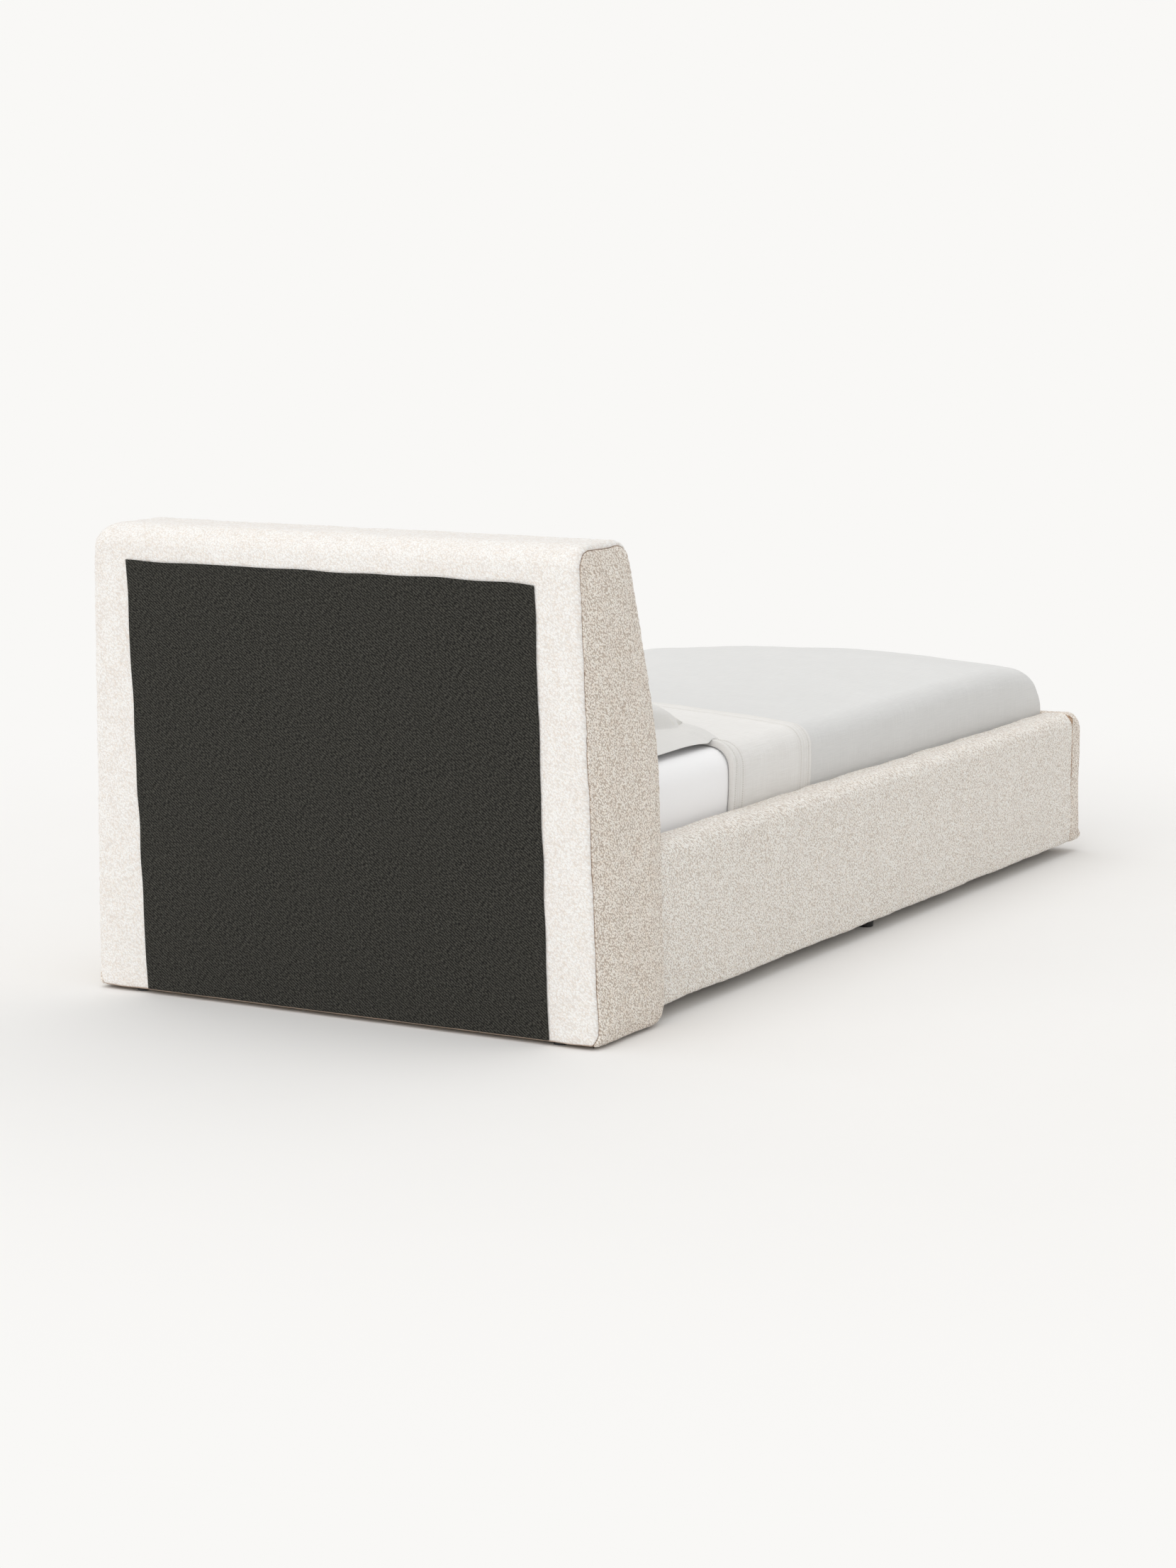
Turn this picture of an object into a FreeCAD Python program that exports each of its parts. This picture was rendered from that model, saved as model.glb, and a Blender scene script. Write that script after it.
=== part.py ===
"""Sleigh bed for one sleeper: an upholstered bed frame with a slatted base, a mattress and its bedding.

Frame: millimetres, +Z up, +Y towards the headboard, +X to the right when seen from the foot end.
The origin is on the floor, under the middle of the whole bed. "Left" is the -X side.
"""
import FreeCAD
import Part

import math
import os

from FreeCAD import Vector

# ---------------------------------------------------------------- mattress and bedding
MATTRESS_WIDTH = 900.0
MATTRESS_LENGTH = 2000.0
MATTRESS_HEIGHT = 200.0
MATTRESS_CORNER_RADIUS = 45.0     # upright corners, seen from above
MATTRESS_EDGE_RADIUS = 38.0       # top and bottom edges
SHEET_THICKNESS = 1.0
COVERLET_THICKNESS = 4.0
COVERLET_START = 424.0            # from the headboard to the coverlet's head hem
BLANKET_THICKNESS = 3.0
BLANKET_START = 419.0             # from the headboard to the folded blanket
BLANKET_BAND = 358.0              # how much of the bed's length the folded blanket covers
TUCK_DEPTH = 60.0                 # bedding pushed down beside the mattress, below the rails' top

PILLOW_WIDTH = 738.0
PILLOW_DEPTH = 350.0
PILLOW_HEIGHT = 120.0
PILLOW_EDGE_RADIUS = 50.0
PILLOWCASE_THICKNESS = 1.0
PILLOW_FLANGE = 50.0
FLANGE_HEIGHT = 22.0              # above the pillow's underside
FLANGE_THICKNESS = 2.0
PILLOW_TO_HEADBOARD = 5.0

# ---------------------------------------------------------------- clearances
SIDE_CLEARANCE = 1.0              # bedding to side rail
END_CLEARANCE = 1.0               # bedding to headboard and to footboard
SEAT_GAP = 0.3                    # under a piece that lifts off
SLAT_END_CLEARANCE = 4.0          # slat end to rail

# ---------------------------------------------------------------- upholstery
COVER_THICKNESS = 3.0             # boucle
GROUND_CLEARANCE = 27.0           # rails and footboard above the floor
PANEL_HEIGHT = 303.0              # rails and footboard, over the cover
PANEL_TOP_RADIUS = 30.0           # outer top edge
PANEL_INNER_RADIUS = 12.0         # inner top edge
PANEL_BOTTOM_RADIUS = 10.0
PANEL_INNER_PADDING = 7.0         # foam on the mattress side of the board
PANEL_TOP_PADDING = 22.0          # foam over the board's top edge
PANEL_BOARD = 22.0
RAIL_THICKNESS = 76.0
FOOT_THICKNESS = 73.0
FOOT_CORNER_RADIUS = 28.0         # upright outer corners
FOOT_SEAM_RADIUS = 8.0            # upright inner corners, where the rails meet the footboard
FOOT_END_PADDING = 20.0

# ---------------------------------------------------------------- headboard
HEAD_HEIGHT = 900.0
HEAD_DEPTH = 262.0                # at the floor
HEAD_OVERHANG = 15.0              # each side, beyond the rails, at the floor
HEAD_SIDE_LEAN = 27.5             # each end's top edge, inside its bottom edge
HEAD_BACK_LEAN = 25.0             # the back's top edge, behind its bottom edge
HEAD_COVER_BOTTOM = 6.0           # cover's lower edge above the floor
HEAD_FRAME_BOTTOM = 12.0          # wooden frame above the floor
HEAD_FRONT_ANGLE = 16.0           # degrees, lean of the front's upper part
HEAD_BEND_HEIGHT = 520.0
HEAD_BEND_RADIUS = 700.0
HEAD_FRONT_RADIUS = 50.0          # front edge of the top
HEAD_BACK_RADIUS = 42.0           # back edge of the top
HEAD_FOAM = 24.0
HEAD_END_FOAM = 12.0
HARDBOARD = 3.0
END_PANEL = 18.0
LOWER_BOARD_BELOW_TOP = 30.0      # lower board's top below the rails' top
FRAME_DEPTH = 40.0                # headboard's posts and inner rails, front to back
FRAME_RAIL_HEIGHT = 60.0
MIDDLE_RAIL_BOTTOM = 450.0
STUD_WIDTH = 60.0
BACK_CLOTH = 1.2
BACK_CLOTH_SIDE_MARGIN = 112.0    # from the headboard's end at the floor to the cloth
BACK_CLOTH_BELOW_TOP = 77.0
BACK_CLOTH_BOTTOM = 15.0
BACK_CLOTH_LAP = 22.0             # backing cloth over the cover's raw edge
STAPLE_MARGIN = 35.0              # wood behind the cloth's edge

# ---------------------------------------------------------------- slatted base
LEDGE_WIDTH = 25.0
LEDGE_HEIGHT = 45.0
LEDGE_BELOW_TOP = 96.0            # ledge's top below the rails' top
LEDGE_END_GAP = 10.0
SLAT_COUNT = 14
SLAT_WIDTH = 90.0
SLAT_THICKNESS = 18.0
SLAT_END_MARGIN = 25.0            # first and last slat from the bay's ends
TAPE_WIDTH = 25.0
TAPE_THICKNESS = 1.0
TAPE_INSET = 60.0                 # tape from the ledge

# ---------------------------------------------------------------- fasteners and feet
BRACKET_LEG = 50.0
BRACKET_THICKNESS = 4.0
BRACKET_HEIGHT = 125.0
BRACKET_TO_LEDGE = 14.0
BOLT_RADIUS = 4.0
BOLT_REACH = 30.0                 # below the bracket
BOLT_HEAD_HEIGHT = 6.0
BOLT_HEAD_ACROSS = 13.0           # over the hexagon's flats
BOLT_FLANGE_RADIUS = 9.0
BOLT_FLANGE_THICKNESS = 1.5
BOLT_FROM_CORNER = 30.0
BOLT_PITCH = 70.0
INSERT_RADIUS = 6.0
INSERT_LENGTH = 18.0
SCREW_RADIUS = 2.5
SCREW_LENGTH = 50.0
SCREW_HEAD_RADIUS = 5.0
SCREW_HEAD_HEIGHT = 3.0
LEDGE_SCREWS = 7
LEDGE_SCREW_MARGIN = 120.0
SLAT_SCREW_LENGTH = 40.0
GLIDE_RADIUS = 12.0
GLIDE_FROM_END = 90.0
FOOT_RADIUS = 20.0
FOOT_TAPER = 4.0                  # a foot's floor face is this much smaller in radius
FOOT_FROM_END = 60.0

# ---------------------------------------------------------------- places that follow from the sizes
LEFT, RIGHT = -1, 1
SIDES = {"left": LEFT, "right": RIGHT}

bay_width = MATTRESS_WIDTH + 2 * (SHEET_THICKNESS + COVERLET_THICKNESS + BLANKET_THICKNESS + SIDE_CLEARANCE)
bay_length = MATTRESS_LENGTH + 2 * SHEET_THICKNESS + COVERLET_THICKNESS + 2 * END_CLEARANCE
half_bay = bay_width / 2
rail_outside = half_bay + RAIL_THICKNESS
head_half = rail_outside + HEAD_OVERHANG                # at the floor
side_slope = HEAD_SIDE_LEAN / HEAD_HEIGHT

back_lean_angle = math.atan2(HEAD_BACK_LEAN, HEAD_HEIGHT)
round_off = HEAD_BACK_RADIUS * (math.tan(back_lean_angle) + 1 / math.cos(back_lean_angle) - 1)
head_reach = HEAD_DEPTH + HEAD_BACK_LEAN - round_off
bed_length = head_reach + bay_length + FOOT_THICKNESS

foot_outside = -bed_length / 2
foot_inside = foot_outside + FOOT_THICKNESS
head_front = foot_inside + bay_length
head_back = head_front + HEAD_DEPTH

panel_bottom = GROUND_CLEARANCE
panel_top = panel_bottom + PANEL_HEIGHT
board_top = panel_top - COVER_THICKNESS - PANEL_TOP_PADDING
board_inset = COVER_THICKNESS + PANEL_INNER_PADDING     # from the bay's side to the board
ledge_top = panel_top - LEDGE_BELOW_TOP
slat_top = ledge_top + SLAT_THICKNESS
mattress_bottom = slat_top + SEAT_GAP
mattress_top = mattress_bottom + MATTRESS_HEIGHT
mattress_head = head_front - END_CLEARANCE - SHEET_THICKNESS
mattress_middle = mattress_head - MATTRESS_LENGTH / 2
tuck_bottom = panel_top - TUCK_DEPTH
head_board_inset = COVER_THICKNESS + HEAD_FOAM + HARDBOARD   # from the headboard's surface to its end panels
lower_board_top = panel_top - LOWER_BOARD_BELOW_TOP
cloth_half = head_half - BACK_CLOTH_SIDE_MARGIN
cloth_top = HEAD_HEIGHT - BACK_CLOTH_BELOW_TOP
post_inside = cloth_half - STAPLE_MARGIN
bracket_top = ledge_top - LEDGE_HEIGHT - BRACKET_TO_LEDGE
bracket_bottom = bracket_top - BRACKET_HEIGHT
bolt_heights = [(bracket_bottom + bracket_top) / 2 + side * BOLT_PITCH / 2 for side in (-1, 1)]
PAST = 5.0                        # how far a cutting shape runs past what it cuts
FILLET_MARGIN = 2.0               # a fillet's radius stays this much under its neighbour's
TOUCHING = 1e-6                   # nearer than this is the same place


# ---------------------------------------------------------------- outlines
def place(plane, a, b):
    """A point of a drawing plane: XY, XZ or YZ."""
    return {"XY": Vector(a, b, 0), "XZ": Vector(a, 0, b), "YZ": Vector(0, a, b)}[plane]


def rounded_face(plane, corners):
    """A face from corners (a, b, radius), with an arc tangent to both edges at each corner."""
    edges = []
    starts, ends = [], []
    count = len(corners)
    for i, (a, b, radius) in enumerate(corners):
        corner = place(plane, a, b)
        before = place(plane, *corners[i - 1][:2]) - corner
        after = place(plane, *corners[(i + 1) % count][:2]) - corner
        before.normalize()
        after.normalize()
        half_angle = before.getAngle(after) / 2
        if radius <= 0:
            starts.append(corner)
            ends.append(corner)
            continue
        reach = radius / math.tan(half_angle)
        middle = before + after
        middle.normalize()
        start, end = corner + before * reach, corner + after * reach
        crown = corner + middle * (radius / math.sin(half_angle) - radius)
        edges.append(Part.Arc(start, crown, end).toShape())
        starts.append(start)
        ends.append(end)
    for i in range(count):
        edges.append(Part.LineSegment(ends[i], starts[(i + 1) % count]).toShape())
    return Part.Face(Part.Wire(Part.__sortEdges__(edges)))


def moved_in(corners, insets):
    """A convex outline with edge i, which runs from corner i to corner i + 1, moved in by insets[i]."""
    count = len(corners)
    lines = []
    for i in range(count):
        (a0, b0, _), (a1, b1, _) = corners[i], corners[(i + 1) % count]
        length = math.hypot(a1 - a0, b1 - b0)
        normal = (-(b1 - b0) / length, (a1 - a0) / length)     # inwards on an anticlockwise outline
        lines.append((normal, normal[0] * a0 + normal[1] * b0 + insets[i]))
    moved = []
    for i in range(count):
        (p, c), (q, d) = lines[i - 1], lines[i]
        cross = p[0] * q[1] - p[1] * q[0]
        radius = corners[i][2]
        if radius > 0:
            radius = max(radius - max(insets[i - 1], insets[i]), 1.0)
        moved.append(((c * q[1] - d * p[1]) / cross, (p[0] * d - q[0] * c) / cross, radius))
    return moved


def box(x0, x1, y0, y1, z0, z1):
    return Part.makeBox(x1 - x0, y1 - y0, z1 - z0, Vector(x0, y0, z0))


def rod(start, direction, radius, length):
    return Part.makeCylinder(radius, length, start, direction)


def mirrored(shape):
    """The same piece for the other side of the bed."""
    return shape.mirror(Vector(0, 0, 0), Vector(1, 0, 0))


def on_side(shape_on_the_right, side):
    return shape_on_the_right if side == RIGHT else mirrored(shape_on_the_right)


# ---------------------------------------------------------------- headboard
def head_block(front=0.0, top=0.0, back=0.0, side=0.0, bottom=HEAD_COVER_BOTTOM):
    """The headboard's whole shape, moved in by these amounts from its outer surface, down to a height."""
    lean = math.radians(HEAD_FRONT_ANGLE)
    top_front = head_front + (HEAD_HEIGHT - HEAD_BEND_HEIGHT) * math.tan(lean)
    profile = [
        (head_front, 0.0, 0.0),
        (head_back, 0.0, 0.0),
        (head_back + HEAD_BACK_LEAN, HEAD_HEIGHT, HEAD_BACK_RADIUS),
        (top_front, HEAD_HEIGHT, HEAD_FRONT_RADIUS),
        (head_front, HEAD_BEND_HEIGHT, HEAD_BEND_RADIUS),
    ]
    profile = moved_in(profile, [bottom, back, top, front, front])
    ends = [
        (-head_half, 0.0, 0.0),
        (head_half, 0.0, 0.0),
        (head_half - HEAD_SIDE_LEAN, HEAD_HEIGHT, 0.0),
        (-head_half + HEAD_SIDE_LEAN, HEAD_HEIGHT, 0.0),
    ]
    ends = moved_in(ends, [-PAST, side, -PAST, side])
    across = rounded_face("YZ", profile).extrude(Vector(2 * head_half, 0, 0))
    across.translate(Vector(-head_half, 0, 0))
    along = rounded_face("XZ", ends).extrude(Vector(0, bed_length, 0))
    return across.common(along)


def wooden_core(side, bottom=HEAD_FRAME_BOTTOM):
    """The headboard's shape inside its padding."""
    return head_block(head_board_inset, head_board_inset, COVER_THICKNESS, side, bottom)


def end_panels():
    outer = COVER_THICKNESS + HEAD_END_FOAM
    both = wooden_core(outer).cut(wooden_core(outer + END_PANEL, -PAST))
    return sorted(both.Solids, key=lambda solid: solid.CenterOfMass.x)


def between_end_panels(block):
    return block.common(wooden_core(COVER_THICKNESS + HEAD_END_FOAM + END_PANEL))


def back_frame():
    """A board as thick as the back frame, over the whole leaning back between the end panels."""
    behind = head_block(back=COVER_THICKNESS, bottom=-PAST)
    before = head_block(back=COVER_THICKNESS + FRAME_DEPTH, bottom=-2 * PAST)
    return between_end_panels(behind.cut(before))


def frame_piece(x0, x1, z0, z1):
    return back_frame().common(box(x0, x1, head_front, head_back + HEAD_BACK_LEAN, z0, z1))


frame_top = HEAD_HEIGHT - head_board_inset
rail_spans = {
    "top": (cloth_top - STAPLE_MARGIN, frame_top),
    "middle": (MIDDLE_RAIL_BOTTOM, MIDDLE_RAIL_BOTTOM + FRAME_RAIL_HEIGHT),
    "bottom": (HEAD_FRAME_BOTTOM, HEAD_FRAME_BOTTOM + FRAME_RAIL_HEIGHT),
}


def back_rail(span):
    """A rail of the back frame, between its posts."""
    return frame_piece(-post_inside, post_inside, *span)


def back_post():
    """The right-hand upright that the rails meet, against the end panel."""
    return frame_piece(post_inside, head_half, HEAD_FRAME_BOTTOM, frame_top)


def centre_studs():
    """Two short uprights: under and over the middle rail."""
    half = STUD_WIDTH / 2
    below = (rail_spans["bottom"][1], rail_spans["middle"][0])
    above = (rail_spans["middle"][1], rail_spans["top"][0])
    return [frame_piece(-half, half, *span).Solids[0] for span in (below, above)]


def lower_board():
    """The board behind the cover that the side rails bolt to."""
    front_slice = head_block(COVER_THICKNESS, COVER_THICKNESS, COVER_THICKNESS,
                             COVER_THICKNESS + HEAD_END_FOAM, HEAD_FRAME_BOTTOM)
    half = head_half
    return front_slice.common(
        box(-half, half, head_front, head_front + head_board_inset, 0, lower_board_top))


def front_shell(outer, inner, side):
    """The front and top of the headboard between two depths, above the lower board."""
    thick = head_block(outer, outer, COVER_THICKNESS, side).cut(
        head_block(inner, inner, -PAST, -PAST, -PAST))
    half = head_half
    return thick.common(
        box(-half, half, head_front, head_back + HEAD_BACK_LEAN, lower_board_top, HEAD_HEIGHT))


def end_foam():
    """The thin pads outside the end panels."""
    pads = wooden_core(COVER_THICKNESS).cut(wooden_core(COVER_THICKNESS + HEAD_END_FOAM, -PAST))
    return sorted(pads.Solids, key=lambda solid: solid.CenterOfMass.x)


def back_slab(margin, outer, inner, bottom):
    """A slab along the leaning back between two depths, as wide as the backing cloth less a margin."""
    half = cloth_half - margin
    slab = head_block(back=outer, bottom=-PAST).cut(head_block(back=inner, bottom=-2 * PAST))
    return slab.common(box(-half, half, head_front + HEAD_DEPTH / 2, bed_length, bottom, cloth_top - margin))


def head_cover():
    """The three sewn panels of the cover: the long one over front, top and back, and the two ends."""
    skin = COVER_THICKNESS
    inside = head_block(skin, skin, skin, -PAST, -PAST)
    window = back_slab(BACK_CLOTH_LAP, 0.0, skin + PAST, -PAST)
    long_panel = head_block(side=skin).cut(inside).cut(window)
    ends = head_block().cut(head_block(-PAST, -PAST, -PAST, skin, -PAST))
    ends = sorted(ends.Solids, key=lambda solid: solid.CenterOfMass.x)
    return long_panel, ends


def glide_places():
    x = head_half - GLIDE_FROM_END
    front = head_front + COVER_THICKNESS + (HEAD_FOAM + HARDBOARD) / 2
    back = head_back - COVER_THICKNESS - FRAME_DEPTH / 2
    return [Vector(side * x, y, 0) for side in (LEFT, RIGHT) for y in (front, back)]


def head_glides():
    return [rod(at, Vector(0, 0, 1), GLIDE_RADIUS, HEAD_FRAME_BOTTOM) for at in glide_places()]


# ---------------------------------------------------------------- side rails and footboard
def panel_section(plane, inner, outer, inset=0.0):
    """Cross-section of a padded panel whose mattress side is at inner and whose outside is at outer."""
    toward_top = [(inner, panel_bottom, PANEL_BOTTOM_RADIUS), (outer, panel_bottom, PANEL_BOTTOM_RADIUS),
                  (outer, panel_top, PANEL_TOP_RADIUS), (inner, panel_top, PANEL_INNER_RADIUS)]
    if outer < inner:
        toward_top.reverse()
    return rounded_face(plane, moved_in(toward_top, [inset] * 4))


def rail_prism(inset):
    prism = panel_section("XZ", half_bay, rail_outside, inset).extrude(Vector(0, bay_length, 0))
    prism.translate(Vector(0, foot_inside, 0))
    return prism


def rail_board():
    inner = half_bay + board_inset
    return box(inner, inner + PANEL_BOARD, foot_inside, head_front, panel_bottom + COVER_THICKNESS, board_top)


def foot_prism(inset):
    """The footboard's whole shape, moved in by inset: its section, its front view and its plan in one."""
    half = rail_outside
    front_view = [(-half, panel_bottom, PANEL_BOTTOM_RADIUS), (half, panel_bottom, PANEL_BOTTOM_RADIUS),
                  (half, panel_top, PANEL_TOP_RADIUS), (-half, panel_top, PANEL_TOP_RADIUS)]
    plan = [(-half, foot_outside, FOOT_CORNER_RADIUS), (half, foot_outside, FOOT_CORNER_RADIUS),
            (half, foot_inside, FOOT_SEAM_RADIUS), (-half, foot_inside, FOOT_SEAM_RADIUS)]
    across = panel_section("YZ", foot_inside, foot_outside, inset).extrude(Vector(2 * half, 0, 0))
    across.translate(Vector(-half, 0, 0))
    along = rounded_face("XZ", moved_in(front_view, [inset] * 4)).extrude(Vector(0, FOOT_THICKNESS, 0))
    along.translate(Vector(0, foot_outside, 0))
    upright = rounded_face("XY", moved_in(plan, [inset] * 4)).extrude(Vector(0, 0, panel_top))
    return across.common(along).common(upright)


def foot_board():
    half = rail_outside - COVER_THICKNESS - FOOT_END_PADDING
    inner = foot_inside - board_inset
    return box(-half, half, inner - PANEL_BOARD, inner, panel_bottom + COVER_THICKNESS, board_top)


def foot_stub(x, y):
    """A round plastic foot from the floor to the panel above it."""
    return Part.makeCone(FOOT_RADIUS - FOOT_TAPER, FOOT_RADIUS, GROUND_CLEARANCE, Vector(x, y, 0))


board_middle_x = half_bay + board_inset + PANEL_BOARD / 2
board_middle_y = foot_inside - board_inset - PANEL_BOARD / 2
foot_x = rail_outside - COVER_THICKNESS - FOOT_END_PADDING - FOOT_FROM_END


# ---------------------------------------------------------------- slatted base
def slat_ledge():
    return box(half_bay - LEDGE_WIDTH, half_bay, foot_inside + LEDGE_END_GAP, head_front - LEDGE_END_GAP,
               ledge_top - LEDGE_HEIGHT, ledge_top)


def slat_middles():
    first = head_front - SLAT_END_MARGIN - SLAT_WIDTH / 2
    last = foot_inside + SLAT_END_MARGIN + SLAT_WIDTH / 2
    step = (last - first) / (SLAT_COUNT - 1)
    return [first + i * step for i in range(SLAT_COUNT)]


def slat(middle):
    half = half_bay - SLAT_END_CLEARANCE
    return box(-half, half, middle - SLAT_WIDTH / 2, middle + SLAT_WIDTH / 2, ledge_top, slat_top)


def slat_tape():
    outer = half_bay - LEDGE_WIDTH - TAPE_INSET
    ends = slat_middles()
    return box(outer - TAPE_WIDTH, outer, ends[-1] - SLAT_WIDTH / 2, ends[0] + SLAT_WIDTH / 2,
               ledge_top - TAPE_THICKNESS, ledge_top)


# ---------------------------------------------------------------- fasteners
def wood_screw(head_at, direction, length):
    """A countersunk screw whose head is flush with the surface at head_at."""
    shank = rod(head_at, direction, SCREW_RADIUS, length)
    head = Part.makeCone(SCREW_HEAD_RADIUS, SCREW_RADIUS, SCREW_HEAD_HEIGHT, head_at, direction)
    return shank.fuse(head).removeSplitter()


def ledge_screws():
    z = ledge_top - LEDGE_HEIGHT / 2
    first = foot_inside + LEDGE_SCREW_MARGIN
    step = (bay_length - 2 * LEDGE_SCREW_MARGIN) / (LEDGE_SCREWS - 1)
    start = half_bay - LEDGE_WIDTH
    return [wood_screw(Vector(start, first + i * step, z), Vector(1, 0, 0), SCREW_LENGTH)
            for i in range(LEDGE_SCREWS)]


def slat_screws():
    x = half_bay - LEDGE_WIDTH / 2
    ends = slat_middles()
    return [wood_screw(Vector(side * x, y, slat_top), Vector(0, 0, -1), SLAT_SCREW_LENGTH)
            for side in (LEFT, RIGHT) for y in (ends[0], ends[-1])]


def frame_screws():
    """Right-hand screws through the headboard's end panel into the back post, level with each rail."""
    screws = []
    for z0, z1 in rail_spans.values():
        z = (z0 + z1) / 2
        y = head_back - COVER_THICKNESS - FRAME_DEPTH / 2 + HEAD_BACK_LEAN * z / HEAD_HEIGHT
        square = Vector(-1, 0, -side_slope)
        square.normalize()
        x = head_half - side_slope * z - (COVER_THICKNESS + HEAD_END_FOAM) * math.hypot(1, side_slope)
        screws.append(wood_screw(Vector(x, y, z), square, SCREW_LENGTH))
    return screws


def bracket_bolt(seat, direction):
    """A hex flange bolt whose flange lies on the bracket at seat and whose shank runs along direction."""
    back = direction * -1
    shank = rod(seat, direction, BOLT_RADIUS, BRACKET_THICKNESS + BOLT_REACH)
    flange = rod(seat, back, BOLT_FLANGE_RADIUS, BOLT_FLANGE_THICKNESS)
    circle = BOLT_HEAD_ACROSS / 2 / math.cos(math.pi / 6)
    across = Vector(0, 0, 1)
    side = direction.cross(across)
    rim = [seat + across * (circle * math.cos(a)) + side * (circle * math.sin(a))
           for a in [math.pi / 3 * i for i in range(7)]]
    head = Part.Face(Part.makePolygon(rim)).extrude(back * (BOLT_FLANGE_THICKNESS + BOLT_HEAD_HEIGHT))
    return shank.fuse([flange, head]).removeSplitter()


def insert_hole(start, direction):
    """The hole that a threaded insert fills."""
    return rod(start, direction, INSERT_RADIUS, INSERT_LENGTH)


def threaded_insert(start, direction):
    return insert_hole(start, direction).cut(rod(start, direction, BOLT_RADIUS, INSERT_LENGTH))


def corner_joint(end):
    """The right-hand joint at one end: bracket, bolts and inserts. End is +1 at the head, -1 at the foot."""
    wall = head_front if end > 0 else foot_inside
    skin = COVER_THICKNESS if end > 0 else board_inset      # padding over the board that the insert is in
    inward = wall - end * BRACKET_THICKNESS
    ys = sorted((wall, inward))
    leg_ys = sorted((wall, wall - end * BRACKET_LEG))
    bracket = box(half_bay - BRACKET_LEG, half_bay, *ys, bracket_bottom, bracket_top).fuse(
        box(half_bay - BRACKET_THICKNESS, half_bay, *leg_ys, bracket_bottom, bracket_top)).removeSplitter()
    into_rail, into_wall = Vector(1, 0, 0), Vector(0, end, 0)
    y = wall - end * BOLT_FROM_CORNER
    x = half_bay - BOLT_FROM_CORNER
    bolts, inserts, holes = [], [], []
    for z in bolt_heights:
        bolts.append(bracket_bolt(Vector(half_bay - BRACKET_THICKNESS, y, z), into_rail))
        bolts.append(bracket_bolt(Vector(x, inward, z), into_wall))
        for seat, way in ((Vector(half_bay + board_inset, y, z), into_rail),
                          (Vector(x, wall + end * skin, z), into_wall)):
            inserts.append(threaded_insert(seat, way))
            holes.append(insert_hole(seat, way))
    return bracket.cut(bolts), bolts, inserts, holes


# ---------------------------------------------------------------- mattress and bedding
def mattress_block(grow=0.0, round_bottom=False):
    """The mattress, grown by grow on its sides and top."""
    half_width = MATTRESS_WIDTH / 2 + grow
    half_length = MATTRESS_LENGTH / 2 + grow
    corner = MATTRESS_CORNER_RADIUS + grow
    outline = [(x, mattress_middle + y, corner) for x, y in
               ((-half_width, -half_length), (half_width, -half_length),
                (half_width, half_length), (-half_width, half_length))]
    block = rounded_face("XY", outline).extrude(Vector(0, 0, MATTRESS_HEIGHT + grow))
    block.translate(Vector(0, 0, mattress_bottom))
    top = mattress_top + grow
    rims = [edge for edge in block.Edges if abs(edge.CenterOfMass.z - top) < TOUCHING]
    edge_radius = min(MATTRESS_EDGE_RADIUS, MATTRESS_CORNER_RADIUS - FILLET_MARGIN)
    block = block.makeFillet(edge_radius + grow, rims)
    if round_bottom:
        rims = [edge for edge in block.Edges if abs(edge.CenterOfMass.z - mattress_bottom) < TOUCHING]
        block = block.makeFillet(edge_radius, rims)
    return block


def layer(inner, outer, y0, y1, z0):
    """A layer of bedding over the mattress, between two depths, from y0 to y1 and down to z0."""
    shell = mattress_block(outer).cut(mattress_block(inner))
    return shell.common(box(-bay_width, bay_width, y0, y1, z0, 2 * mattress_top))


def fitted_sheet():
    return layer(0, SHEET_THICKNESS, -bed_length, bed_length, mattress_bottom + MATTRESS_EDGE_RADIUS)


def coverlet():
    inner = SHEET_THICKNESS
    return layer(inner, inner + COVERLET_THICKNESS, -bed_length, head_front - COVERLET_START, tuck_bottom)


def folded_blanket():
    inner = SHEET_THICKNESS + COVERLET_THICKNESS
    head = head_front - BLANKET_START
    return layer(inner, inner + BLANKET_THICKNESS, head - BLANKET_BAND, head, tuck_bottom)


def pillow_block(grow):
    half = PILLOW_WIDTH / 2 + grow
    back = head_front - PILLOW_TO_HEADBOARD - PILLOW_FLANGE - PILLOWCASE_THICKNESS + grow
    front = back - PILLOW_DEPTH - 2 * grow
    bottom = mattress_top + SHEET_THICKNESS + SEAT_GAP + PILLOWCASE_THICKNESS - grow
    block = box(-half, half, front, back, bottom, bottom + PILLOW_HEIGHT + 2 * grow)
    radius = min(PILLOW_EDGE_RADIUS, PILLOW_HEIGHT / 2 - FILLET_MARGIN)
    return block.makeFillet(radius + grow, block.Edges)


def pillow_and_case():
    core = pillow_block(0)
    shell = pillow_block(PILLOWCASE_THICKNESS)
    bounds = shell.BoundBox
    level = core.BoundBox.ZMin + FLANGE_HEIGHT
    brim = box(bounds.XMin - PILLOW_FLANGE, bounds.XMax + PILLOW_FLANGE,
               bounds.YMin - PILLOW_FLANGE, bounds.YMax + PILLOW_FLANGE,
               level - FLANGE_THICKNESS / 2, level + FLANGE_THICKNESS / 2)
    return core, shell.fuse(brim).cut(core)


# ---------------------------------------------------------------- assembly
def group(solids):
    return Part.makeCompound(solids)


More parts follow.
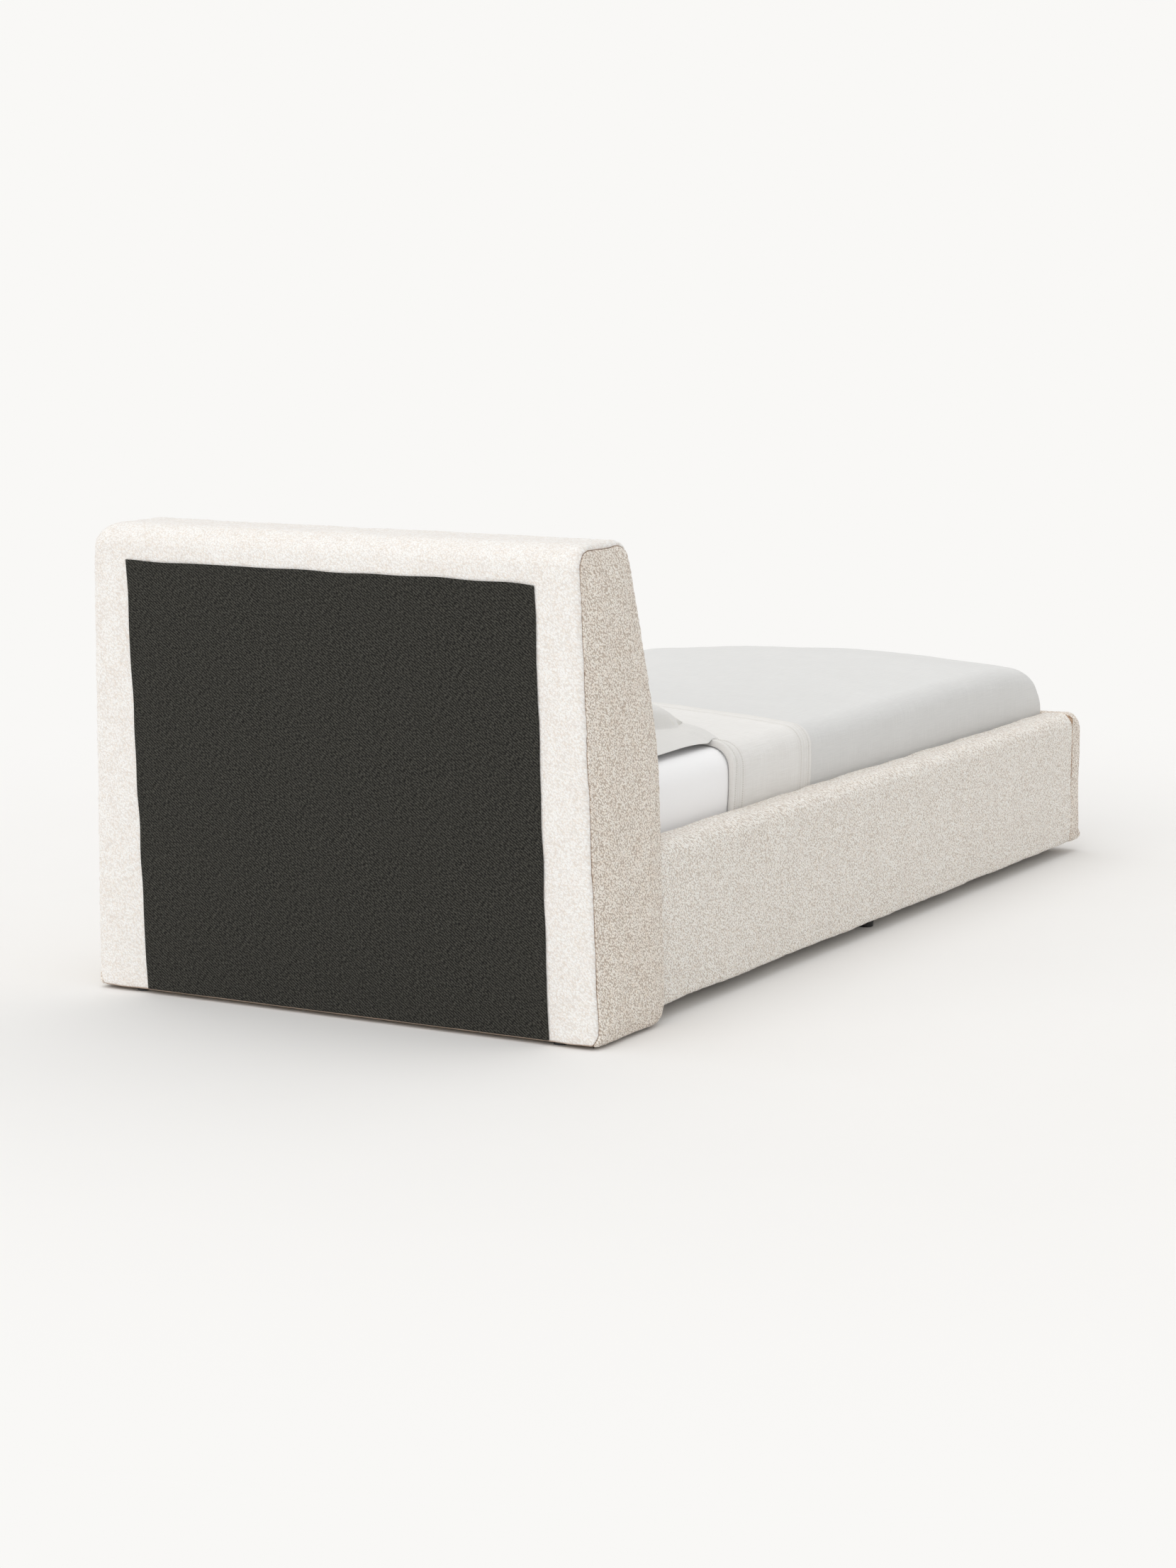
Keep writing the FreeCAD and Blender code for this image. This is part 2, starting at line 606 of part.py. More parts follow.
def build():
    parts = {}
    joints = {"head": corner_joint(1), "foot": corner_joint(-1)}
    bolts = [bolt for joint in joints.values() for bolt in joint[1]]
    inserts = [insert for joint in joints.values() for insert in joint[2]]
    screws = ledge_screws()
    fasteners = bolts + screws
    both_sides = fasteners + [mirrored(fastener) for fastener in fasteners]
    insert_holes = [hole for joint in joints.values() for hole in joint[3]]
    both_inserts = insert_holes + [mirrored(hole) for hole in insert_holes]

    # headboard
    panels = end_panels()
    pads = end_foam()
    head_screws = frame_screws()
    head_screws += [mirrored(screw) for screw in head_screws]
    for (name, side), panel, pad in zip(SIDES.items(), panels, pads):
        parts[f"headboard_end_panel_{name}"] = panel.cut(head_screws)
        parts[f"headboard_end_foam_{name}"] = pad
        parts[f"headboard_post_{name}"] = on_side(back_post(), side).cut(head_screws)
    for name, span in rail_spans.items():
        parts[f"headboard_{name}_rail"] = back_rail(span)
    parts["headboard_centre_studs"] = group(centre_studs())
    parts["headboard_lower_board"] = lower_board().cut(both_sides + both_inserts)
    under_foam = COVER_THICKNESS + HEAD_FOAM
    at_end_panels = COVER_THICKNESS + HEAD_END_FOAM
    parts["headboard_hardboard"] = front_shell(under_foam, head_board_inset, at_end_panels)
    parts["headboard_front_foam"] = front_shell(COVER_THICKNESS, under_foam, COVER_THICKNESS)
    long_panel, end_covers = head_cover()
    parts["headboard_cover"] = long_panel.cut(both_sides)
    for name, end_cover in zip(SIDES, end_covers):
        parts[f"headboard_end_cover_{name}"] = end_cover
    parts["headboard_back_cloth"] = back_slab(0.0, -BACK_CLOTH, 0.0, BACK_CLOTH_BOTTOM)
    parts["headboard_glides"] = group(head_glides())
    parts["headboard_screws"] = group(head_screws)

    # side rails and footboard
    envelope = rail_prism(COVER_THICKNESS)
    cover = rail_prism(0).cut(envelope).cut(fasteners)
    board = rail_board()
    foam = envelope.cut([board] + fasteners)
    board = board.cut(fasteners + insert_holes)
    ledge = slat_ledge().cut(screws)
    for name, side in SIDES.items():
        parts[f"rail_cover_{name}"] = on_side(cover, side)
        parts[f"rail_foam_{name}"] = on_side(foam, side)
        parts[f"rail_board_{name}"] = on_side(board, side)
        parts[f"slat_ledge_{name}"] = on_side(ledge, side).cut(slat_screws())
    inside = foot_prism(COVER_THICKNESS)
    parts["foot_cover"] = foot_prism(0).cut([inside] + both_sides)
    parts["foot_foam"] = inside.cut([foot_board()] + both_sides)
    parts["foot_board"] = foot_board().cut(both_sides + both_inserts)
    places = ((board_middle_x, foot_inside + bay_length / 2), (foot_x, board_middle_y))
    parts["feet"] = group([foot_stub(side * x, y) for side in (LEFT, RIGHT) for x, y in places])

    # joints and base
    for end, joint in joints.items():
        for name, side in SIDES.items():
            parts[f"corner_bracket_{end}_{name}"] = on_side(joint[0], side)
    parts["bracket_bolts"] = group(bolts + [mirrored(bolt) for bolt in bolts])
    parts["threaded_inserts"] = group(inserts + [mirrored(insert) for insert in inserts])
    parts["ledge_screws"] = group(screws + [mirrored(screw) for screw in screws])
    for i, middle in enumerate(slat_middles(), 1):
        parts[f"slat_{i:02d}"] = slat(middle).cut(slat_screws())
    parts["slat_tapes"] = group([on_side(slat_tape(), side) for side in (LEFT, RIGHT)])
    parts["slat_screws"] = group(slat_screws())

    # mattress and bedding
    parts["mattress"] = mattress_block(round_bottom=True)
    parts["fitted_sheet"] = fitted_sheet()
    parts["coverlet"] = coverlet()
    parts["folded_blanket"] = folded_blanket()
    parts["pillow"], parts["pillowcase"] = pillow_and_case()
    return parts


def main():
    os.makedirs("parts", exist_ok=True)
    parts = build()
    for name, shape in parts.items():
        solids = shape.Solids
        print(f"{name}: {len(solids)} solid(s), valid {shape.isValid()}, "
              f"{sum(solid.Volume for solid in solids) / 1e6:.3f} litres")
        shape.exportStep(f"parts/{name}.step")
    print(len(parts), "nodes")


main()
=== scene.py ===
# %% [markdown]
# # A sleigh bed in boucle, with its mattress and bedding
# The bed's construction comes from CAD: wooden frames, padding, slats, brackets and bolts, each a node at
# its real size. This script never moves those. It gives every node its finish, and builds the soft
# surfaces, which CAD can only hold as plain solids, as detailed meshes in the same place.

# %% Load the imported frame
import math

import bmesh
import bpy
import numpy as np
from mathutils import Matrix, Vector


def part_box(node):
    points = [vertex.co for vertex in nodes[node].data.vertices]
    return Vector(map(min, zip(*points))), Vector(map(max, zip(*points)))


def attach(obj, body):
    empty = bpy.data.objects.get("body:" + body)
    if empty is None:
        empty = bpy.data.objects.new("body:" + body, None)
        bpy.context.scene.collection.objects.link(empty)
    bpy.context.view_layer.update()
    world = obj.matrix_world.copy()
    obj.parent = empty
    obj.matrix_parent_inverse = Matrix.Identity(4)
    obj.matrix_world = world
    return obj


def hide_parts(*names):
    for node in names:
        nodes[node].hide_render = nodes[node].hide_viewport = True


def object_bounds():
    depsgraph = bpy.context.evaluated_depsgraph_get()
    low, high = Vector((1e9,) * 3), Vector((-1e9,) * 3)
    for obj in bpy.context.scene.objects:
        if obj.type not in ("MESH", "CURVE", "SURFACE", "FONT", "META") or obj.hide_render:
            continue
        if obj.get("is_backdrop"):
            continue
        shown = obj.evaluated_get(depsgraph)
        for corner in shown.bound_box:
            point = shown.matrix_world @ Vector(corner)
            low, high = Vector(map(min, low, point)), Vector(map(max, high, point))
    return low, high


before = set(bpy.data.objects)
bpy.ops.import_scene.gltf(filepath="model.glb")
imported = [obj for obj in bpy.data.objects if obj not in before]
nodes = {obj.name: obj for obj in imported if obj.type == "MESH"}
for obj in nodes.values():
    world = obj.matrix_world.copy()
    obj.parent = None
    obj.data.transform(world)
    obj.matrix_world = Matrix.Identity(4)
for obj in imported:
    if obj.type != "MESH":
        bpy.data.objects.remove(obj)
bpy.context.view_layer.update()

# %% [markdown]
# ## Where things are
# A soft piece goes where its CAD solid is, so places are read from the frame's boxes. Only what a box
# doesn't tell, such as how far a face leans or how round an edge is, is written here as a named size.

# %% Places of the upholstered parts, in metres
LEFT, RIGHT = -1, 1
SIDES = {"left": LEFT, "right": RIGHT}
COVER = 0.003                      # thickness of the boucle

head_low, head_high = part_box("headboard_cover")
end_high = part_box("headboard_end_cover_right")[1]
head_front = head_low.y
head_top = head_high.z
head_bottom = head_low.z
HEAD_DEPTH = 0.262                 # at the floor
HEAD_BACK_LEAN = 0.025             # top of the back behind its foot
HEAD_SIDE_LEAN = 0.0275            # top of each end inside its foot
HEAD_BEND_HEIGHT = 0.52            # the front is upright below this
HEAD_FRONT_LEAN = math.tan(math.radians(16))
head_half = end_high.x + HEAD_SIDE_LEAN * head_bottom / head_top

rail_low, rail_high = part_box("rail_cover_right")
bay_half, rail_outside = rail_low.x, rail_high.x
panel_bottom, panel_top = rail_low.z, rail_high.z
foot_outside, foot_inside = (corner.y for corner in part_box("foot_cover"))
print(f"headboard front {head_front:.3f}, foot {foot_outside:.3f}, rails {bay_half:.3f}-{rail_outside:.3f}")

# %% [markdown]
# ## Camera, light and floor
# The camera stands behind the headboard on the bed's left and looks down a little. A pale world lights
# everything the same from every side. Two very soft suns stand for studio softboxes: one overhead, and a
# low one behind the headboard, so that the long side of the bed is a shade darker than its back.

# %% Camera
scene = bpy.context.scene
scene.view_settings.view_transform = "Standard"

CAMERA_PLACE = Vector((-3.5096, 6.4382, 1.4400))
CAMERA_TURN = math.radians(29.448)   # from straight along the bed towards +X
CAMERA_PITCH = math.radians(9.011)   # downwards
CAMERA_LENS = 80.485                 # millimetres, on a 36 mm long side

camera_data = bpy.data.cameras.new("camera")
camera_data.lens = CAMERA_LENS
camera = bpy.data.objects.new("camera", camera_data)
scene.collection.objects.link(camera)
looking = Vector((math.sin(CAMERA_TURN) * math.cos(CAMERA_PITCH),
                  -math.cos(CAMERA_TURN) * math.cos(CAMERA_PITCH),
                  -math.sin(CAMERA_PITCH)))
camera.location = CAMERA_PLACE
camera.rotation_euler = looking.to_track_quat("-Z", "Y").to_euler()
scene.camera = camera

# %% A few lines that build node trees
def srgb(red, green, blue):
    """A colour written as 0-255 screen values, as the linear numbers that shaders use."""
    parts = [c / 255 for c in (red, green, blue)]
    return tuple(c / 12.92 if c < 0.04045 else ((c + 0.055) / 1.055) ** 2.4 for c in parts) + (1.0,)


class Output:
    """A node's output that can be calculated with: each sign adds a Math node to its tree."""

    def __init__(self, socket):
        self.socket = socket

    def __add__(self, other):
        return maths("ADD", self, other)

    def __sub__(self, other):
        return maths("SUBTRACT", self, other)

    def __rsub__(self, other):
        return maths("SUBTRACT", other, self)

    def __mul__(self, other):
        return maths("MULTIPLY", self, other)

    def __rtruediv__(self, other):
        return maths("DIVIDE", other, self)

    def __pow__(self, other):
        return maths("POWER", self, other)

    def __abs__(self):
        return maths("ABSOLUTE", self)

    def __gt__(self, other):
        return maths("GREATER_THAN", self, other)

    def __lt__(self, other):
        return maths("LESS_THAN", self, other)


class Made:
    """A new node, whose outputs are looked up by name or number."""

    def __init__(self, node):
        self.node = node

    def __getitem__(self, name):
        return Output(self.node.outputs[name])


def add_node(kind, inputs=None, tree=None, **settings):
    """Adds a node to this tree, or to the one its inputs come from. Settings are the node's own choices."""
    inputs = inputs or {}
    if tree is None:
        tree = next(value.socket.id_data for value in inputs.values() if isinstance(value, Output))
    node = tree.nodes.new(kind)
    for name, value in settings.items():
        setattr(node, name, value)
    for name, value in inputs.items():
        if isinstance(value, Output):
            tree.links.new(value.socket, node.inputs[name])
        else:
            node.inputs[name].default_value = value
    return Made(node)


def maths(operation, *values):
    return add_node("ShaderNodeMath", dict(enumerate(values)), operation=operation)[0]


def sine(value):
    return maths("SINE", value)


def vector_maths(operation, *values):
    return add_node("ShaderNodeVectorMath", dict(enumerate(values)), operation=operation)[0]


def scaled(vector, amount):
    return add_node("ShaderNodeVectorMath", {0: vector, "Scale": amount}, operation="SCALE")[0]


def parts_of(vector):
    """The X, Y and Z of a vector, looked up by those names."""
    return add_node("ShaderNodeSeparateXYZ", {"Vector": vector})


def ramp(factor, *stops, smooth=True):
    """A colour ramp from (position, colour) stops."""
    made = add_node("ShaderNodeValToRGB", {"Fac": factor})
    colours = made.node.color_ramp
    colours.interpolation = "EASE" if smooth else "LINEAR"
    for element, (position, colour) in zip(colours.elements, stops):
        element.position = position
        element.color = colour
    return made["Color"]


def blend_colours(factor, first, second, mode="MIX"):
    return add_node("ShaderNodeMix", {0: factor, 6: first, 7: second}, data_type="RGBA", blend_type=mode)[2]


def noise_of(vector, size, detail=2.0, roughness=0.5, output="Fac"):
    """A noise whose lumps are about `size` metres across."""
    return add_node("ShaderNodeTexNoise", {"Vector": vector, "Scale": 1 / size, "Detail": detail,
                                           "Roughness": roughness})[output]


def warped(vector, size, amount):
    """The vector pushed about by a noise."""
    push = vector_maths("SUBTRACT", noise_of(vector, size, output="Color"), (0.5, 0.5, 0.5))
    return vector_maths("ADD", vector, scaled(push, amount))


def new_material(name):
    """An empty material: returns it with the coordinates of the object that it is on."""
    made = bpy.data.materials.new(name)
    made.use_nodes = True
    made.node_tree.nodes.clear()
    return made, add_node("ShaderNodeTexCoord", tree=made.node_tree)["Object"]


def finish_material(colour, roughness, height, bump, relief, **plain):
    """Ends a material in a Principled shader. Its height makes a bump of this strength and depth."""
    normal = add_node("ShaderNodeBump", {"Height": height, "Strength": bump, "Distance": relief})[0]
    shader = add_node("ShaderNodeBsdfPrincipled", {"Base Color": colour, "Roughness": roughness,
                                                   "Normal": normal, **plain})
    add_node("ShaderNodeOutputMaterial", {"Surface": shader[0]})


def cloth_sheen(weight, roughness, mirror):
    """The soft glow of a cloth's fibres, and how little it mirrors."""
    return {"Sheen Weight": weight, "Sheen Roughness": roughness, "Specular IOR Level": mirror}


def facing_of(material):
    """The X, Y and Z of the direction that a surface faces."""
    return parts_of(add_node("ShaderNodeNewGeometry", tree=material.node_tree)["Normal"])


# %% World, lights and floor
BACKGROUND = srgb(249, 248, 246)
LIGHT_COLOUR = (1.0, 0.995, 0.985)
SKY_LIGHT = 0.83                   # how brightly the world lights the object from above
SKYLINE = 0.21                     # and what share of that comes from just over the floor
SKY_RISE = (0.02, 0.30)            # between these heights, on a unit sphere, it grows from one to the other
SOFTBOXES = {                      # strength, and where the light comes from
    "overhead_softbox": (0.50, Vector((0.12, 0.10, 1.0))),
    "back_softbox": (1.0, Vector((0.12, 0.93, 0.35))),
}
SOFTNESS = math.radians(60)
FLOOR_COLOUR = (0.862, 0.855, 0.845, 1.0)
FLOOR_MIDDLE = (-0.3, 0.0, 0.0)
FLOOR_REACH = 40.0
FLOOR_FADE = (1.7, 3.4)            # the floor's own shading fades out between these distances


def seen_directly(tree):
    """1 for rays from the camera, from a mirror and through glass; 0 for light on its way to a surface."""
    path = add_node("ShaderNodeLightPath", tree=tree)
    either = maths("MAXIMUM", path["Is Camera Ray"], path["Is Glossy Ray"])
    return maths("MAXIMUM", either, path["Is Transmission Ray"])


world = bpy.data.worlds.new("studio")
world.use_nodes = True
scene.world = world
tree = world.node_tree
tree.nodes.clear()
direction = parts_of(add_node("ShaderNodeTexCoord", tree=tree)["Generated"])
raised = add_node("ShaderNodeMapRange", {"Value": direction["Z"],
                                         "From Min": SKY_RISE[0], "To Min": SKYLINE * SKY_LIGHT,
                                         "From Max": SKY_RISE[1], "To Max": SKY_LIGHT},
                  interpolation_type="SMOOTHSTEP")[0]
lighting = add_node("ShaderNodeBackground", {"Color": (*LIGHT_COLOUR, 1.0), "Strength": raised})
backdrop = add_node("ShaderNodeBackground", {"Color": BACKGROUND, "Strength": 1.0}, tree=tree)
both = add_node("ShaderNodeMixShader", {0: seen_directly(tree), 1: lighting[0], 2: backdrop[0]})
add_node("ShaderNodeOutputWorld", {"Surface": both[0]})

for name, (strength, comes_from) in SOFTBOXES.items():
    light = bpy.data.lights.new(name, "SUN")
    light.energy = strength
    light.angle = SOFTNESS
    light.color = LIGHT_COLOUR
    softbox = bpy.data.objects.new(name, light)
    softbox.rotation_euler = comes_from.to_track_quat("Z", "Y").to_euler()
    scene.collection.objects.link(softbox)

floor_mesh = bpy.data.meshes.new("floor")
floor_corners = [(x * FLOOR_REACH, y * FLOOR_REACH, 0) for x, y in ((-1, -1), (1, -1), (1, 1), (-1, 1))]
floor_mesh.from_pydata(floor_corners, [], [(0, 1, 2, 3)])
floor = bpy.data.objects.new("floor", floor_mesh)
scene.collection.objects.link(floor)
floor_material, place = new_material("pale_floor")
tree = floor_material.node_tree
middle = add_node("ShaderNodeVectorMath", {0: place, 1: FLOOR_MIDDLE}, operation="DISTANCE")
fade = add_node("ShaderNodeMapRange", {"Value": middle["Value"], "From Min": FLOOR_FADE[0],
                                       "From Max": FLOOR_FADE[1]}, interpolation_type="SMOOTHSTEP")
grain = add_node("ShaderNodeTexNoise", {"Vector": place, "Scale": 3.0, "Detail": 3.0})["Fac"]
tint = ramp(grain, (0.3, FLOOR_COLOUR), (0.7, tuple(c * 0.995 for c in FLOOR_COLOUR[:3]) + (1.0,)))
matt = add_node("ShaderNodeBsdfDiffuse", {"Color": tint})
plain = add_node("ShaderNodeEmission", {"Color": BACKGROUND, "Strength": 1.0}, tree=tree)
mixed = add_node("ShaderNodeMixShader", {0: fade[0] * seen_directly(tree), 1: matt[0], 2: plain[0]})
add_node("ShaderNodeOutputMaterial", {"Surface": mixed[0]})
floor_mesh.materials.append(floor_material)
floor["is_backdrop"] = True
print("camera", tuple(round(c, 3) for c in camera.location), "lens", CAMERA_LENS)

# %% [markdown]
# ## Boucle
# Boucle is woven from a looped yarn. Seen close, pale curls lie over a darker ground, and seen from afar
# they only roughen the surface. A Voronoi texture gives a point for each curl, and the distance from it
# shades the curl from its bright middle to the dark gap round it: partly the taupe ground, partly painted
# shade between the curls. The space it reads is stretched along a slant, because curls are longer than
# wide, and noise bends them into squiggles. It all reads Object coordinates, so the pattern has the same
# size on every piece and needs no UV map. The ends, rails and footboard get copies with much more dark
# ground showing and paler curls: painted shade for the grazing light that falls on those sides.

# %% Boucle material
CURL_SIZE = 0.0028                 # across one curl of yarn
CURL_SLANT = (0.577, 0.577, 0.577)
CURL_STRETCH = 0.50                # how much longer than wide a curl is: its width is this share less
ROW_SWAY = (0.012, 0.003)          # the rows of curls sway: the size of a bend, and how far it goes
CURL_BEND = (0.004, 0.0022)        # and so does each curl
FUZZ = 0.25                        # how much the fibres blur a curl's edge
# the colour of the gaps between curls: the taupe ground yarn together with painted shade between the curls
GROUND_TAUPE_AND_SHADE = srgb(180, 163, 148)
WHITE = (1.0, 1.0, 1.0, 1.0)


def make_boucle(name, cream, ground, blotches):
    """Boucle with this much ground and painted shade showing between the curls, and this strong a mottle."""
    material, place = new_material(name)
    along = add_node("ShaderNodeVectorMath", {0: place, 1: CURL_SLANT}, operation="DOT_PRODUCT")["Value"]
    rows = vector_maths("SUBTRACT", place, scaled(CURL_SLANT, along * CURL_STRETCH))
    bent = warped(warped(rows, *ROW_SWAY), *CURL_BEND)
    whole = add_node("ShaderNodeTexVoronoi", {"Vector": bent, "Scale": 1 / CURL_SIZE}, feature="F1")
    fibre = noise_of(place, 0.0012, 3.0, 0.7)
    curl = 1.0 - (whole["Distance"] + fibre * FUZZ)
    sand = tuple(part * share for part, share in zip(cream, (0.95, 0.91, 0.87, 1.0)))
    loops = ramp(whole["Color"], (0.1, sand), (0.55, cream))
    # painted shade: a curl darkens from its middle to the gap round it, partly the taupe ground yarn and
    # partly shade between the curls
    shown = ramp(curl, (0.2, (1 - ground, 1 - ground, 1 - ground, 1)), (0.46, WHITE), smooth=False)
    colour = blend_colours(shown, GROUND_TAUPE_AND_SHADE, loops)
    mottle = ramp(noise_of(place, 0.03, 1.0), (0.38, srgb(236, 224, 216)), (0.62, WHITE))
    colour = blend_colours(blotches, colour, mottle, "MULTIPLY")
    # painted shade: the cloth is darkened where a seam pulls it in, at rims and where padded parts meet,
    # wherever its relief weight falls
    open_cloth = add_node("ShaderNodeAttribute", tree=material.node_tree, attribute_name="relief")["Fac"]
    painted_seam_shade = ramp(open_cloth, (0.0, srgb(196, 174, 156)), (0.5, WHITE))
    colour = blend_colours(1.0, colour, painted_seam_shade, "MULTIPLY")
    finish_material(colour, 0.95, curl, 0.3 + 0.5 * ground, 0.0022, **cloth_sheen(0.25, 0.45, 0.15))
    return material


# Lit and shaded copies of one cloth. The long panel's copy has little dark ground between its curls. The
# ends, rails and footboard show much more of it, as painted shade for the grazing light on those sides, with
# paler curls to keep their brightness.
boucle = make_boucle("cream_boucle", srgb(244, 243, 241), 0.26, 0.12)
boucle_painted_shade_ends = make_boucle("cream_boucle_painted_shade_ends", srgb(254, 249, 241), 0.80, 0.18)
boucle_painted_shade_rails = make_boucle("cream_boucle_painted_shade_rails", srgb(255, 253, 248), 0.64, 0.10)
print("boucle curls are", CURL_SIZE * 1000, "mm across")

# %% [markdown]
# ## Surfaces as grids of points
# The padded parts are blocks with rounded, sewn edges. A block is described by its outline seen from one
# side, and by how round its edges are. Each surface is worked out as a grid of points with numpy, which
# keeps the faces even and small, so that the cloth's relief can be real geometry. The grid is the outside
# of the fabric. A coarser copy a few millimetres deeper is the inside, and a strip joins their rims.

# %% Outlines
ARC_POINTS = 25                    # on each rounded corner of an outline


def unit(vector):
    return vector / np.linalg.norm(vector)


def smooth_step(values, low, high):
    share = np.clip((values - low) / (high - low), 0.0, 1.0)
    return share * share * (3 - 2 * share)


def rounded_line(corners):
    """A closed line through corners (a, b, radius), with an arc of many short steps at each."""
    arcs = []
    for i, (a, b, radius) in enumerate(corners):
        corner = np.array((a, b), float)
        before = unit(np.array(corners[i - 1][:2]) - corner)
        after = unit(np.array(corners[(i + 1) % len(corners)][:2]) - corner)
        half = math.acos(float(before @ after)) / 2
        centre = corner + unit(before + after) * radius / math.sin(half)
        u = unit(corner + before * radius / math.tan(half) - centre)
        v = unit(corner + after * radius / math.tan(half) - centre)
        turn = math.acos(float(np.clip(u @ v, -1, 1)))
        share = np.linspace(0, 1, ARC_POINTS)[:, None]
        between = (np.sin((1 - share) * turn) * u + np.sin(share * turn) * v) / math.sin(turn)
        arcs.append(centre + radius * between)
    return np.vstack(arcs)


def evenly(line, count, spacing=None):
    """`count` + 1 points along an open line. Spacing says how far apart they are near each of its points."""
    steps = np.linalg.norm(np.diff(line, axis=0), axis=1)
    if spacing is not None:
        steps = steps / ((spacing[1:] + spacing[:-1]) / 2)
    along = np.concatenate([[0], np.cumsum(steps)])
    at = np.linspace(0, along[-1], count + 1)
    return np.stack([np.interp(at, along, line[:, k]) for k in range(line.shape[1])], axis=1)


def from_below(corners):
    """A line through corners as many even points, from the middle of its bottom side round to there again.
    The first two corners are the bottom's."""
    line = rounded_line(corners)
    start = np.array([((corners[0][0] + corners[1][0]) / 2, corners[0][1])])
    return evenly(np.vstack([start, line[ARC_POINTS:], line[:ARC_POINTS], start]), 2000)


def outward(line):
    """Unit normals of a closed line that runs anticlockwise."""
    along = np.roll(line, -1, axis=0) - np.roll(line, 1, axis=0)
    normal = np.stack([along[:, 1], -along[:, 0]], axis=1)
    return normal / np.linalg.norm(normal, axis=1, keepdims=True)


def faced(normals):
    """Which way each point of an outline faces: 0 is down, 1 is back, 2 is up and 3 is to the front."""
    y, z = normals.T
    return np.argmax(np.stack([-z, y, z, -y]), axis=0)


def middle_of(line, low, high):
    """For each point of an outline, the point halfway to the one opposite, kept between two heights."""
    count = len(line)
    opposite = -np.arange(count) % count
    middle = (line + line[opposite]) / 2
    order = np.minimum(np.arange(count), opposite)
    within = order[(middle[:, 1] > low) & (middle[:, 1] < high)]
    return middle[np.clip(order, within.min(), within.max())]


def round_edge(line, normal, radius, turn, half_length):
    """Points on the rounded edge of a block with this outline, at these angles of turn round the edge."""
    recess = radius * (1 - np.cos(turn))
    y = line[:, :1] - normal[:, :1] * recess
    z = line[:, 1:] - normal[:, 1:] * recess
    return np.stack([half_length(z) - radius + radius * np.sin(turn), y, z], axis=2)


def softened(values, window):
    """A closed row of values, each averaged with its neighbours."""
    return sum(np.roll(values, k, axis=0) for k in range(-window, window + 1)) / (2 * window + 1)


# %% Shells
def add_object(name, data):
    """A new object at the origin, in the scene."""
    made = bpy.data.objects.new(name, data)
    scene.collection.objects.link(made)
    return made


def shade_smooth(piece, smooth=True):
    piece.data.polygons.foreach_set("use_smooth", [smooth] * len(piece.data.polygons))
    return piece


def grid_normals(grid, wrap=False):
    """Unit normals at each point of a grid, pointing to the left of rows crossed with columns."""
    if wrap:
        down = np.roll(grid, -1, axis=0) - np.roll(grid, 1, axis=0)
    else:
        down = np.gradient(grid, axis=0)
    cross = np.cross(down, np.gradient(grid, axis=1))
    return cross / np.maximum(np.linalg.norm(cross, axis=2, keepdims=True), 1e-12)


def numbered(grid):
    """The number of each of a grid's points."""
    return np.arange(grid.shape[0] * grid.shape[1]).reshape(grid.shape[:2])


def rim_of(number):
    """The numbers of a grid's outer points, in order round it."""
    return np.concatenate([number[0, :-1], number[:-1, -1], number[-1, :0:-1], number[:0:-1, 0]])


def grid_faces(number, flip=False):
    """Faces between the points of a grid, from the points' numbers."""
    a, b, c, d = number[:-1, :-1], number[1:, :-1], number[1:, 1:], number[:-1, 1:]
    faces = np.stack([a, b, c, d], axis=2).reshape(-1, 4)
    return (faces[:, ::-1] if flip else faces).tolist()


def upward_normals(grid, wrap=False):
    """Unit normals of a grid that mostly lies flat, on its upper side."""
    normal = grid_normals(grid, wrap)
    return normal if normal[:, :, 2].sum() > 0 else -normal


def closed_shell(outside, inside, keep=None, wrap=False, every=(4, 2), sealed=()):
    """Points and faces of a closed shell between two grids. The inside uses every so many rows and columns.
    A sealed rim ("first" or "last" column) meets itself, so it gets no strip."""
    rows, columns = outside.shape[:2]
    down, across = every
    blocks = (rows if wrap else rows - 1) // down, (columns - 1) // across
    if keep is None:
        keep = np.ones(blocks, bool)
    inner = inside[::down, ::across]
    inner_rows, inner_columns = inner.shape[:2]

    def out(r, c):
        return (r % rows) * columns + c

    def into(r, c):
        return rows * columns + (r % inner_rows) * inner_columns + c

    r, c = np.nonzero(np.repeat(np.repeat(keep, down, axis=0), across, axis=1))
    faces = np.stack([out(r, c), out(r + 1, c), out(r + 1, c + 1), out(r, c + 1)], axis=1).tolist()
    r, c = np.nonzero(keep)
    faces += np.stack([into(r, c), into(r, c + 1), into(r + 1, c + 1), into(r + 1, c)], axis=1).tolist()

    def fan(outer, a, b):
        middle = (len(outer) - 1) // 2
        for k in range(len(outer) - 1):
            faces.append([outer[k + 1], outer[k], a if k < middle else b])
        faces.append([outer[middle], a, b])

    def open_to(r, c):
        if wrap:
            r %= blocks[0]
        if c < 0:
            return "first" not in sealed
        if c >= blocks[1]:
            return "last" not in sealed
        return not (0 <= r < blocks[0] and keep[r, c])

    for r, c in zip(*np.nonzero(keep)):
        top, bottom = r * down, (r + 1) * down
        west, east = c * across, (c + 1) * across
        if open_to(r - 1, c):
            fan([out(top, k) for k in range(east, west - 1, -1)], into(r, c + 1), into(r, c))
        if open_to(r + 1, c):
            fan([out(bottom, k) for k in range(west, east + 1)], into(r + 1, c), into(r + 1, c + 1))
        if open_to(r, c - 1):
            fan([out(k, west) for k in range(top, bottom + 1)], into(r, c), into(r + 1, c))
        if open_to(r, c + 1):
            fan([out(k, east) for k in range(bottom, top - 1, -1)], into(r + 1, c + 1), into(r, c + 1))
    return np.vstack([outside.reshape(-1, 3), inner.reshape(-1, 3)]), faces


MERGE = 2e-6                       # points closer than this are one


